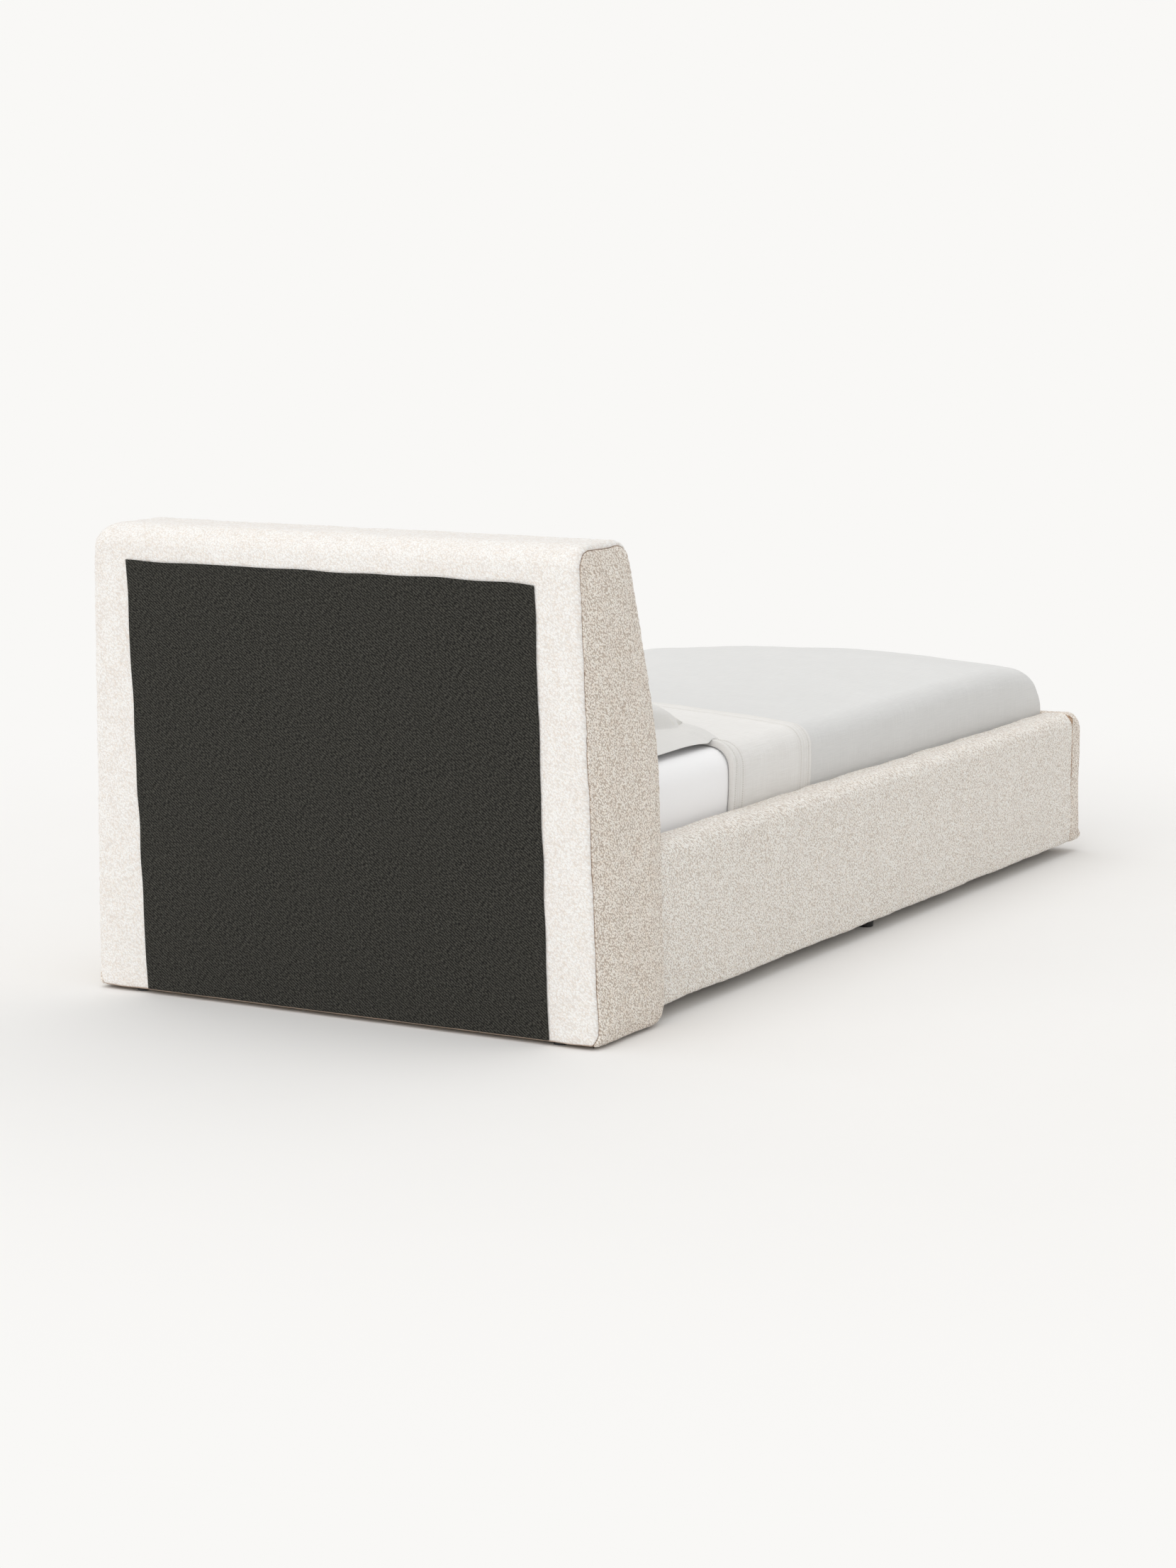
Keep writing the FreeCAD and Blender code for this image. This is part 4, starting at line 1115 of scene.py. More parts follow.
# the hem folded under lifts it, it follows the soft boucle, and creases run in from one edge
lift = 0.0022 - 0.0006 * smooth_step(from_edge, HEM - 0.0015, HEM + 0.0015)
lift = lift + 0.0006 * ripples(x, z, 0.11, 43) * smooth_step(from_edge, 0.0, 0.03)
creases = np.exp(-(u * cloth_width) / 0.045) * smooth_step(z, 0.60, 0.66) * (1 - smooth_step(z, 0.73, 0.78))
lift = lift + 0.0012 * creases * wobble(z + 0.12 * x, 0.021, 44)
outer = np.stack([x, back_plane + lift + CLOTH_THICKNESS, z], axis=2)
inner = outer - np.array([0, CLOTH_THICKNESS, 0])
dust_cloth = shell_piece("headboard_dust_cloth", outer, inner, black_twill,
                         smooth_step(from_edge, 0.0, 0.004), every=(4, 4))
add_relief(dust_cloth, curl_size=0.03, curl_height=0.00004, lump_size=0.14, lump_height=0.0004)

# %% [markdown]
# ## The bedding's shape
# Everything on the slats has the outline of a bed: long sides, a foot end and, for the mattress and the
# fitted sheet, a head end. Each layer is the same shape a few millimetres smaller than the one over it.
# A row of points goes up the side, over the rounded edge and in to the bed's middle line. The side swells
# a little above the rails, the top is crowned, and towards the foot it slopes down to a fuller edge.

# %% Outline of the bedding
BED_HALF = 0.458
BED_FOOT = foot_inside + 0.0014
BED_HEAD = head_front - 0.0012
CORNER_REACH = 0.08                # each corner takes up this much of the side and of the end
CORNER_ROUND = 0.078               # how round the corners are at the top, seen from above
EDGE_ROUND = 0.045                 # how round the top's edge is along the sides
FOOT_FULLER = 0.020                # and this much more at the foot
SIDE_SWELL = 0.004                 # how far the sides swell out above the rails
SIDE_POINTS, TOP_POINTS = 90, 59   # of a row before it is spaced out, besides those of its edge's arc
CROWN = 0.475


def bed_top(x, y):
    """Height of the blanket's top, the uppermost layer, at a place."""
    top = CROWN - 0.019 * (np.abs(x) / 0.4) ** 2
    top = top + 0.0055 * smooth_step(-y, 0.1, 0.6)
    return top - 0.0245 * smooth_step(-y, 0.71, 1.10) ** 1.6 - 0.006 * smooth_step(y, 0.60, 0.89)


def half_outline(side, corner, foot, head=0):
    """The left half of a bed's outline: each row's part and its share of that part, from head to foot."""
    counts = {"head": head, "head corner": corner if head else 0, "side": side, "corner": corner,
              "foot": foot}
    rows = [(part, k / count) for part, count in counts.items() for k in range(count)] + [("foot", 1.0)]
    parts, shares = zip(*rows)
    return np.array(parts)[:, None], np.array(shares)[:, None]


def round_corner(share, radius):
    """Distances from a square corner's two sides, for a place this far along the way round it."""
    straight = CORNER_REACH - radius
    gone = share * (2 * straight + radius * math.pi / 2)
    turn = np.clip((gone - straight) / radius, 0, math.pi / 2)
    beyond = np.maximum(gone - straight - radius * math.pi / 2, 0)
    from_end = CORNER_REACH - np.minimum(gone, straight) - radius * np.sin(turn)
    return radius * (1 - np.cos(turn)) + beyond, from_end


def bed_place(part, share, out, radius, head):
    """Plan positions of outline rows moved out by `out`. An open end, without a head, doesn't move."""
    half, foot, reach = BED_HALF + out, BED_FOOT - out, CORNER_REACH
    aside, beyond = round_corner(share, radius)
    head_aside, head_beyond = round_corner(1 - share, radius)
    has_head = "head" in part
    top = head + out * has_head
    start = top - reach * has_head
    parts = [part == name for name in ("head", "head corner", "side", "corner", "foot")]
    along = start * (1 - share) + (foot + reach) * share
    x = np.select(parts, [-(half - reach) * share, -half + head_aside, -half + 0 * aside, -half + aside,
                          -(half - reach) * (1 - share)])
    y = np.select(parts, [top + 0 * aside, top - head_beyond, along + 0 * aside, foot + beyond,
                          foot + 0 * aside])
    return x, y


def half_layer(rows, inset, bottom, head, columns, spacing, corner=0.022, fold=None):
    """A grid over the left half of the bed: columns run from the bottom of the side to the middle line.
    Spacing says how far apart they are at the bottom, at the rounded edge's two ends, on the top and last."""
    part, share = rows
    has_head = "head" in part
    towards_foot = np.select([part == "foot", part == "corner"], [1.0 + 0 * share, share], 0.0)
    edge = EDGE_ROUND + FOOT_FULLER * towards_foot
    x, y = bed_place(part, share, -inset - edge, CORNER_ROUND + 0 * share, head)
    edge_top = bed_top(x, y) - inset
    z = bottom + (edge_top - edge - bottom) * np.linspace(0, 1, SIDE_POINTS)[None]
    out = SIDE_SWELL * np.sin(np.clip((z - 0.31) / 0.15, 0, 1) * math.pi) - inset
    if fold is not None:
        out = out + fold(part, share, z)
    arc = np.linspace(0, math.pi / 2 * 0.94, ARC_POINTS + 1)[None, 1:]
    z = np.concatenate([z, edge_top - edge + edge * np.sin(arc)], axis=1)
    out = np.concatenate([out, out[:, -1:] - edge * (1 - np.cos(arc))], axis=1)
    radius = corner + (CORNER_ROUND - corner) * smooth_step(z, 0.335, 0.43)
    x, y = bed_place(part, share, out, radius, head)
    rim = np.stack([x, y, z], axis=2)
    spine_y = np.clip(y[:, -1], BED_FOOT + 0.46, BED_HEAD - 0.46 if has_head else BED_HEAD)
    spine = np.stack([0 * spine_y, spine_y], axis=1)[:, None]
    shares = np.linspace(0, 1, TOP_POINTS + 1)[None, 1:, None]
    top = rim[:, -1:, :2] * (1 - shares) + spine * shares
    step = rim[:, -1:, 2] - bed_top(rim[:, -1:, 0], rim[:, -1:, 1]) + inset
    top_z = bed_top(top[:, :, 0], top[:, :, 1]) - inset + step * (1 - shares[:, :, 0]) ** 8
    dense = np.concatenate([rim, np.concatenate([top, top_z[:, :, None]], axis=2)], axis=1)
    top_start = SIDE_POINTS + ARC_POINTS
    stations = [0, SIDE_POINTS, top_start - 1, top_start + 15, top_start + TOP_POINTS - 1]
    gaps = np.interp(np.arange(dense.shape[1]), stations, spacing)
    return np.array([evenly(row, columns, gaps) for row in dense])


def whole_layer(left, closed=False):
    """Both halves of a layer, with rows that go right round its outline."""
    right = left[::-1] * (-1, 1, 1)
    return np.concatenate([left[:-1], right[:-1] if closed else right])


def cloth_piece(name, grid, thickness, material, relief, wrap=False):
    """A sheet of cloth from a grid whose columns run from the rim to the middle line."""
    normal = upward_normals(grid, wrap)
    normal[:, -2:] = (0, 0, 1)
    made = shell_piece(name, grid, grid - normal * thickness, material, 1.0, wrap=wrap, every=(2, 2),
                       sealed=("last",))
    add_relief(made, *relief)
    return made


# %% [markdown]
# ## Bed linen
# Linen and cotton are plain weaves: threads of uneven thickness cross at right angles, so a close look
# shows a fine grid with thicker threads here and there. Each bed linen has its own colour and thread size.
# The pattern lies on Object coordinates, taken from the side that the face looks to.

# %% Bed linen materials
SLUB_LONG, SLUB_THICK = 18.0, 520.0   # how many slubs there are in a metre along a thread, and across it


def make_linen(name, colour, shade, thread, slub, bump, stripes=None):
    """A plain weave of this thread size. Slub says how uneven the threads are, and stripes adds to it."""
    material, place = new_material(name)
    bent = parts_of(warped(place, 0.03, 0.0015))
    facing = facing_of(material)
    flat = abs(facing["Z"]) > 0.6
    sideways = abs(facing["Y"]) > 0.75

    def choose(switch, first, second):
        return add_node("ShaderNodeMix", {0: switch, 2: first, 3: second})[0]

    first = choose(flat, choose(sideways, bent["Y"], bent["X"]), bent["Y"])
    second = choose(flat, bent["Z"], bent["X"])
    waves = [abs(sine(v * (math.pi / thread))) for v in (first, second)]
    weave = maths("MAXIMUM", *waves)
    long_threads = add_node("ShaderNodeCombineXYZ", {"X": first * SLUB_LONG, "Y": second * SLUB_THICK})[0]
    cross_threads = add_node("ShaderNodeCombineXYZ", {"X": first * SLUB_THICK, "Y": second * SLUB_LONG})[0]
    slubs = noise_of(long_threads, 1.0) + noise_of(cross_threads, 1.0)
    tint = slubs * slub + weave * 0.15
    shown = ramp(tint, (0.55 * slub, shade), (1.35 * slub + 0.12, colour), smooth=False)
    shown = blend_colours(noise_of(place, 0.09, 3.0) * 0.35, shown, shade)
    height = weave + slubs
    if stripes is not None:
        shown, height = stripes(place, bent, shown, height)
    finish_material(shown, 0.9, height, bump, 0.0004, **cloth_sheen(0.06, 0.5, 0.2))
    return material


coverlet_cotton = make_linen("stonewashed_cotton", srgb(228, 228, 227), srgb(213, 213, 212), 0.0026, 0.6, 0.5)
sheet_cotton = make_linen("white_percale", srgb(254, 254, 255), srgb(252, 252, 253), 0.0007, 0.25, 0.15)
pillow_cotton = make_linen("pillow_linen", srgb(234, 233, 231), srgb(224, 223, 220), 0.0012, 0.45, 0.35)
ticking_cotton = make_linen("mattress_ticking", srgb(240, 239, 235), srgb(226, 224, 218), 0.0010, 0.4, 0.3)

# %% Coverlet
COVERLET_INSET = 0.0034
band_low, band_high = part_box("folded_blanket")
coverlet_low, coverlet_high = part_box("coverlet")


def hospital_fold(part, share, z):
    """The side's cloth is folded over the foot's at each corner: a step that opens downwards."""
    opened = 1 - smooth_step(z, 0.33, 0.425)
    at_side, at_corner = part == "side", part == "corner"
    beside = at_side * smooth_step(share, 0.90, 1.0) + at_corner
    before = at_corner * (1 - smooth_step(share, 0.50, 0.56)) + at_side
    return opened * (0.0045 * beside * before - 0.0015 * at_corner * (1 - before))


rows = half_outline(190, 20, 50)
grid = whole_layer(half_layer(rows, COVERLET_INSET, coverlet_low.z, coverlet_high.y, 92,
                              (0.009, 0.0055, 0.005, 0.009, 0.011), fold=hospital_fold))
x, y, z = np.moveaxis(grid, 2, 0)
lie = 0.0012 * ripples(x, y, 0.30, 51) + 0.0006 * ripples(y, z, 0.12, 52)
grid[:, :, 2] += lie * smooth_step(z, 0.33, 0.44)
coverlet = cloth_piece("coverlet_cloth", grid, 0.0032, coverlet_cotton, (0.018, 0.0003, 0.07, 0.0006))

# %% [markdown]
# ## The folded blanket
# A linen blanket is folded into a band across the bed, under the pillow's edge. Its head edge is a fold,
# so it is thick and round. Along both edges runs a drawn-thread border: low ribs, and rows of tiny holes
# where threads were pulled out before the hem was sewn.

# %% Blanket
BORDER = 0.060
RIB_PITCH = 0.012
HOLE_ROWS = (0.014, 0.050)         # from each edge
HOLE_PITCH, HOLE_HALF = 0.0042, 0.0011
BAND_HEAD, BAND_FOOT = band_high.y - 0.001, band_low.y + 0.001


def drawn_threads(place, bent, colour, height):
    """Ribs along the band's two borders with painted shade between them, and rows of small holes painted dark
    as the shade in them.
    """
    y = parts_of(place)["Y"]
    away = maths("MINIMUM", BAND_HEAD - y, y - BAND_FOOT)
    border = away < BORDER
    rib = abs(sine(away * (math.pi / RIB_PITCH)))
    run = bent["X"] + bent["Z"]
    dots = sine(run * (math.tau / HOLE_PITCH)) > 0.1
    hole_shade = 0.0
    for row in HOLE_ROWS:
        near = abs(away - row) < HOLE_HALF
        hole_shade = maths("MAXIMUM", hole_shade, near * dots)
    ribbed = border * rib ** 0.6
    # painted shade: the holes are dark dots, and the valleys between the ribs are darkened
    colour = blend_colours(hole_shade * 0.55, colour, srgb(160, 152, 142))
    colour = blend_colours((border - ribbed) * 0.22, colour, srgb(196, 189, 180))
    return colour, height + ribbed * 2.0


blanket_linen = make_linen("blanket_linen", srgb(242, 241, 239), srgb(224, 222, 219), 0.0030, 0.6, 0.6,
                           stripes=drawn_threads)
BAND_ROWS = 84
gaps = np.interp(np.linspace(0, 1, 1001), [0, 0.02, 0.1, 0.97, 1], [0.0012, 0.0018, 0.0048, 0.0048, 0.002])
y = evenly(np.linspace(BAND_HEAD, BAND_FOOT, 1001)[:, None], BAND_ROWS, gaps)
rows = np.full((BAND_ROWS + 1, 1), "side"), (BAND_HEAD - y) / (BAND_HEAD - BED_FOOT - CORNER_REACH)
left = half_layer(rows, 0.0, coverlet_low.z, BAND_HEAD, 128, (0.0055, 0.0045, 0.004, 0.0055, 0.006))
grid = np.concatenate([left, left[:, -2::-1] * (-1, 1, 1)], axis=1)
blanket_normal = upward_normals(grid)
from_head, from_foot = BAND_HEAD - y, y - BAND_FOOT
from_edge = np.minimum(from_head, from_foot)
raised = smooth_step(grid[:, :, 2], 0.36, 0.44)
thick = 0.003 + (0.0020 + 0.0065 * raised) * (1 - smooth_step(from_head, 0.004, 0.045))
under = 0.003 + 0.0022 * (1 - smooth_step(from_head, 0.0030, 0.0048))
rolled = np.sqrt(1 - (1 - np.clip(from_edge / 0.0035, 0, 1)) ** 2)
rise = 0.0012 + (thick - 0.0012) * rolled - 0.003
rise = rise + 0.0007 * ripples(grid[:, :, 0] + grid[:, :, 2], grid[:, :, 1], 0.16, 61) * rolled
ribs = np.abs(np.sin(from_edge * math.pi / RIB_PITCH)) ** 0.6 * (from_edge < BORDER)
rise = rise + 0.0007 * ribs * rolled
blanket_surface = grid + blanket_normal * rise[:, :, None]
blanket = shell_piece("folded_blanket_band", blanket_surface, grid - blanket_normal * under[:, :, None],
                      blanket_linen, 1.0, every=(2, 2))
add_relief(blanket, curl_size=0.012, curl_height=0.0002, lump_size=0.06, lump_height=0.0005)

# %% [markdown]
# ## Fitted sheet and mattress
# The fitted sheet wraps the mattress tightly. Its outline closes at the head, so its rows go right round.
# The mattress under it is quilted in ticking, with shallow tufts in a diamond pattern on its top and
# bottom, and swells out a little round its lower edge, where a seam would be.

# %% Fitted sheet
SHEET_INSET = 0.0072
sheet_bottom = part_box("fitted_sheet")[0].z
rows = half_outline(124, 14, 36, 36)
left = half_layer(rows, SHEET_INSET, sheet_bottom, BED_HEAD + SHEET_INSET, 60,
                  (0.009, 0.009, 0.007, 0.012, 0.016), corner=0.05)
grid = whole_layer(left, closed=True)
grid[:, :, 2] += 0.0005 * ripples(grid[:, :, 0], grid[:, :, 1], 0.2, 71) * (grid[:, :, 2] > 0.43)
fitted_sheet = cloth_piece("fitted_sheet_cloth", grid, 0.001, sheet_cotton, (0.03, 0.0003, 0.09, 0.0006),
                           wrap=True)

# %% Mattress
MATTRESS_INSET = 0.0088
mattress_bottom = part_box("mattress")[0].z
TUFT_PITCH = 0.11
rows = half_outline(96, 12, 28, 28)
left = half_layer(rows, MATTRESS_INSET, mattress_bottom + 0.012, BED_HEAD + MATTRESS_INSET, 72,
                  (0.008, 0.008, 0.007, 0.015, 0.02), corner=0.06)
grid = whole_layer(left, closed=True)
rim, middle_line = grid[:, :1], grid[:, -1:]
side_out = rim[:, :, :2] - middle_line[:, :, :2]
side_out = side_out / np.linalg.norm(side_out, axis=2, keepdims=True)
edge_swell = 0.002 * bump_at(grid[:, :, 2] - mattress_bottom, 0.016, 0.005)
grid[:, :, :2] += edge_swell[:, :, None] * side_out
shares = np.linspace(0, 1, 34)[None, :, None]
under = rim * (1 - shares) + np.concatenate([middle_line[:, :, :2], rim[:, :, 2:]], axis=2) * shares
under[:, :, 2] = mattress_bottom + 0.012 * (1 - np.sqrt(1 - (1 - np.clip(shares[:, :, 0] / 0.03, 0, 1)) ** 2))
grid = np.concatenate([under[:, :0:-1], grid], axis=1)
tufts = (np.sin(grid[:, :, 0] * math.pi / TUFT_PITCH) * np.sin(grid[:, :, 1] * math.pi / TUFT_PITCH)) ** 2
flat_part = np.abs(grid_normals(grid, wrap=True)[:, :, 2]) > 0.9
inward = np.where(grid[:, :, 2] < 0.35, 1, -1) * flat_part
grid[:, :, 2] += inward * 0.004 * (1 - tufts) * (np.abs(grid[:, :, 0]) < 0.40)
mattress = wrapped_piece("mattress_body", grid, ticking_cotton)

# %% [markdown]
# ## Pillow
# The pillow is blown up rather than modelled: two flat pieces of cloth are sewn together round their rim,
# and Blender's cloth simulation fills them with pressure. The rim pulls in and puckers by itself, as it
# does on a real pillow. The lower half is then pressed flat, as it is where it lies on the bed.

# %% Inflate the pillow
pillow_low, pillow_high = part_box("pillow")
PILLOW_ACROSS, PILLOW_DOWN = 76, 38
CUT_LENGTH, CUT_WIDTH = 0.79, 0.40
STEPS = 24
COTTON = {"quality": 6, "mass": 0.25, "tension_stiffness": 25, "compression_stiffness": 25,
          "bending_stiffness": 0.6, "use_pressure": True, "uniform_pressure_force": 4.0}


pillow_u, pillow_v = np.meshgrid(np.linspace(-1, 1, PILLOW_ACROSS + 1), np.linspace(-1, 1, PILLOW_DOWN + 1),
                                 indexing="ij")


def pillow_mesh(u, v):
    """Two layers of a grid that share their rim. Returns the points and, for each layer, their numbers."""
    fullness = 0.012 * (1 - u ** 4) * (1 - v ** 4)
    upper = np.stack([u * CUT_LENGTH / 2, v * CUT_WIDTH / 2, fullness], axis=2).reshape(-1, 3)
    number = np.arange(len(upper)).reshape(u.shape)
    lower_number = number.copy()
    middle = np.zeros(u.shape, bool)
    middle[1:-1, 1:-1] = True
    lower_number[middle] = len(upper) + np.arange(middle.sum())
    lower = upper[middle.ravel()] * (1, 1, -1)
    return np.vstack([upper, lower]), number, lower_number


def inflate(points, faces):
    """Runs the cloth simulation on a bag and returns where its points end up."""
    mesh = bpy.data.meshes.new("bag")
    mesh.from_pydata(points.tolist(), [], faces)
    bag = add_object("bag", mesh)
    cloth = bag.modifiers.new("filling", "CLOTH")
    for setting, value in COTTON.items():
        setattr(cloth.settings, setting, value)
    cloth.settings.effector_weights.gravity = 0.0
    cloth.point_cache.frame_start, cloth.point_cache.frame_end = 1, STEPS
    for step in range(1, STEPS + 1):
        scene.frame_set(step)
    settled = bag.evaluated_get(bpy.context.evaluated_depsgraph_get()).to_mesh()
    result = np.empty(len(points) * 3)
    settled.vertices.foreach_get("co", result)
    bag.modifiers.remove(cloth)
    bpy.data.objects.remove(bag)
    bpy.data.meshes.remove(mesh)
    scene.frame_set(1)
    return result.reshape(-1, 3)


points, upper_number, lower_number = pillow_mesh(pillow_u, pillow_v)
faces = grid_faces(upper_number) + grid_faces(lower_number, flip=True)
points = inflate(points, faces)
size = points.max(axis=0) - points.min(axis=0)
print("pillow blew up to", np.round(size * 1000), "mm")


# %% Lay it on the bed
PRESSED = 0.034                    # from the rim down to the bed
FULLNESS = 0.074                   # from the rim up to the crown
SHOULDER = 0.0425                  # how far in from the bed's sides its top starts to fall
DOME = 0.42                        # the less, the flatter its top and the steeper its sides


def bed_surface(x, y):
    """Height of whatever covers the bed at a place: the blanket, or the fitted sheet nearer the head."""
    inset = np.where(y < band_high.y, -0.002, SHEET_INSET)
    flat_half = BED_HALF - SHOULDER
    over = np.clip(np.abs(x) - flat_half, 0, SHOULDER)
    drop = EDGE_ROUND - np.sqrt(EDGE_ROUND ** 2 - over ** 2)
    return bed_top(np.clip(x, -flat_half, flat_half), y) - drop - inset


points = points - (points.max(axis=0) + points.min(axis=0)) / 2
points[:, 0] *= (pillow_high.x - pillow_low.x) / size[0]
points[:, 1] *= (pillow_high.y - pillow_low.y) / size[1]
height = points[:, 2] / (size[2] / 2)
points[:, 1] += (pillow_low.y + pillow_high.y) / 2
rest = bed_surface(points[:, 0], np.maximum(points[:, 1], band_high.y + 0.001)) + PRESSED
lifted = np.where(height > 0, FULLNESS * np.clip(height, 0, 1) ** DOME,
                  -PRESSED * (1 - (1 + height) ** 3) * 0.94)
points[:, 2] = rest + lifted
pillow = make_piece("pillow_body", points, faces, ticking_cotton)


# %% [markdown]
# The pillowcase has the pillow's shape and, beyond a line of stitches, a flat border all round. The border
# bends down under its own weight: at its corners it reaches the blanket, and between them it stands clear.

# %% Pillowcase
case_low, case_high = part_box("pillowcase")
FLANGE_COLUMNS = 14
CASE_CLOTH = 0.0009                # half the thickness of its border
CASE_EASE = 0.0016                 # between the pillow and the case
rim_number = rim_of(upper_number)
rim_share = np.stack([pillow_u.ravel()[rim_number], pillow_v.ravel()[rim_number]], axis=1)
border = np.stack([rim_share[:, 0] * (case_high.x - 0.001), (case_low.y + case_high.y) / 2
                   + rim_share[:, 1] * (case_high.y - case_low.y - 0.002) / 2], axis=1)
round_tip = np.clip((np.abs(rim_share).min(axis=1) - 0.93) / 0.07, 0, 1)[:, None] ** 2
border = border * (1 - 0.012 * round_tip)
around_rim = np.concatenate([[0], np.cumsum(np.linalg.norm(np.diff(border, axis=0), axis=1))])
near_corner = np.clip((np.abs(rim_share).min(axis=1) - 0.55) / 0.45, 0, 1)
ground = bed_surface(border[:, 0], border[:, 1]) + 0.003
border_z = ground + (0.011 + 0.0022 * wobble(around_rim, 0.21, 81)) * (1 - near_corner ** 1.5)
outer_rim = np.concatenate([border, border_z[:, None]], axis=1)
share = np.linspace(0, 1, FLANGE_COLUMNS + 1)[None, :, None]
ring = points[rim_number][:, None] * (1 - share) + outer_rim[:, None] * share
share = share[:, :, 0]
pucker = 0.0010 * wobble(around_rim, 0.024, 82)[:, None] * np.exp(-share * 5) * (share > 0)
ring[:, :, 2] += np.sin(share * math.pi) * 0.006 + pucker
ground = bed_surface(ring[:, :, 0], ring[:, :, 1]) + 0.002
ring[:, :, 2] = np.maximum(ring[:, :, 2], ground)


# %% Sew the case together
def point_normals(points, faces):
    mesh = bpy.data.meshes.new("measure")
    mesh.from_pydata(points.tolist(), [], faces)
    result = np.array([vertex.normal[:] for vertex in mesh.vertices])
    bpy.data.meshes.remove(mesh)
    return result


looser = points + point_normals(points, faces) * CASE_EASE
looser[rim_number] = points[rim_number]
ring_normal = upward_normals(ring, wrap=True)
above, below = ring + ring_normal * CASE_CLOTH, ring - ring_normal * CASE_CLOTH
lower_seam = looser[rim_number] - (0, 0, 2 * CASE_CLOTH)
case_points = np.vstack([looser, above[:, 1:].reshape(-1, 3), below[:, 1:].reshape(-1, 3), lower_seam])
upper = len(looser) + numbered(ring[:, 1:])
lower = upper + upper.size
lower_seam = len(case_points) - len(rim_number) + np.arange(len(rim_number))
upper = np.concatenate([rim_number[:, None], upper], axis=1)
lower = np.concatenate([lower_seam[:, None], lower], axis=1)
swap = dict(zip(rim_number, lower_seam))
case_faces = grid_faces(upper_number)
case_faces += [[swap.get(v, v) for v in face] for face in grid_faces(lower_number, flip=True)]
for k in range(len(rim_number)):
    after = (k + 1) % len(rim_number)
    for c in range(FLANGE_COLUMNS):
        case_faces.append([upper[k, c], upper[k, c + 1], upper[after, c + 1], upper[after, c]])
        case_faces.append([lower[after, c], lower[after, c + 1], lower[k, c + 1], lower[k, c]])
    case_faces.append([upper[k, -1], lower[k, -1], lower[after, -1], upper[after, -1]])
pillowcase = make_piece("pillowcase_cloth", case_points, case_faces, pillow_cotton)
smoother = pillowcase.modifiers.new("finer", "SUBSURF")
smoother.levels = smoother.render_levels = 1

# %% [markdown]
# ## Foam, board and tapes
# Some CAD solids have a rounded or soft neighbour now, so they get a matching shape too. Foam fills the
# space between a rail's board and its sleeve, and the same in the footboard. The headboard's lower board
# has its front edges rounded off to lie inside the cover. Two webbing tapes hold the slats at their
# distance, and sag a little between them.

# %% Foam in the rails and the footboard
FOAM_GAP = 0.0006                  # between the foam and the cloth


def foam_round(outer, board):
    """The inside of a foam block: every point of the outer surface, brought in to the board's box."""
    low, high = (np.array(corner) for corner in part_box(board))
    low[0], high[0] = low[0] - 0.0004, high[0] + 0.0004
    low[2], high[2] = low[2] + 0.004, high[2] - 0.004
    inner = outer.copy()
    for axis in (0, 2):
        inner[..., axis] = np.clip(outer[..., axis], low[axis], high[axis])
    return inner


rail_foams = {}
for name, side in SIDES.items():
    outer = rail_grid(side, COVER + FOAM_GAP)[0][::3, ::7]
    inner = foam_round(outer, f"rail_board_{name}")
    rail_foams[name] = foam_piece(f"rail_padding_{name}", outer, inner, wrap=True)
skin = (foot_surface - normal_of_foot * (COVER + FOAM_GAP))[::3, ::3]
foot_foam = wrapped_piece("footboard_padding", skin, foam_material)

# %% Timber and sheet materials
GRAIN_STRETCH = 0.06               # how much the pattern is drawn out along the grain
PLY_PAIR = 0.0031                  # two layers of plywood, one along and one across
MESH_PRINT = 0.0016                # the print on hardboard's rough side
AXES = "XYZ"


def wood_material(name, along, pale, dark, ply=None):
    """Wood whose grain runs along one axis. Ply is the axis through which a plywood's layers are glued."""
    material, place = new_material(name)
    stretch = [GRAIN_STRETCH if axis == along else 1.0 for axis in AXES]
    drawn = vector_maths("MULTIPLY", warped(place, 0.15, 0.012), stretch)
    rings = noise_of(drawn, 0.011, 4.0, 0.6)
    pores = noise_of(drawn, 0.0011, 2.0, 0.6)
    colour = ramp(rings, (0.32, dark), (0.62, pale))
    colour = blend_colours(0.35, colour, ramp(pores, (0.35, dark), (0.55, pale)))
    height = rings + pores * 0.6
    if ply is not None:
        layer = sine(parts_of(place)[ply] * (math.tau / PLY_PAIR))
        turned = ramp(layer * 0.5 + 0.5, (0.4, srgb(176, 134, 92)), (0.6, WHITE))
        edge = abs(facing_of(material)[ply]) < 0.7
        colour = blend_colours(edge, colour, blend_colours(0.8, colour, turned, "MULTIPLY"))
    finish_material(colour, 0.55, height, 0.35, 0.0005, **{"Specular IOR Level": 0.35})
    return material


def metal_material(name, pale, dark, roughness):
    """Plated metal: faint crystals in the plating, and fine scratches."""
    material, place = new_material(name)
    crystals = add_node("ShaderNodeTexVoronoi", {"Vector": place, "Scale": 420.0})["Color"]
    scratches = noise_of(vector_maths("MULTIPLY", place, (1.0, 0.1, 1.0)), 0.0006, 3.0)
    colour = ramp(crystals * 0.6 + scratches * 0.4, (0.2, dark), (0.8, pale))
    rough = add_node("ShaderNodeMapRange", {"Value": scratches, "To Min": roughness - 0.08,
                                            "To Max": roughness + 0.1})[0]
    finish_material(colour, rough, scratches, 0.2, 0.0001, Metallic=1.0)
    return material


def plastic_material(name, pale, dark):
    """Moulded plastic with a fine pebbled skin and scuffs."""
    material, place = new_material(name)
    pebbles = add_node("ShaderNodeTexVoronoi", {"Vector": place, "Scale": 1100.0})["Distance"]
    scuffs = noise_of(place, 0.006, 4.0, 0.7)
    rough = add_node("ShaderNodeMapRange", {"Value": scuffs, "To Min": 0.42, "To Max": 0.62})[0]
    finish_material(ramp(scuffs, (0.35, dark), (0.7, pale)), rough, pebbles, 0.3, 0.0002)
    return material


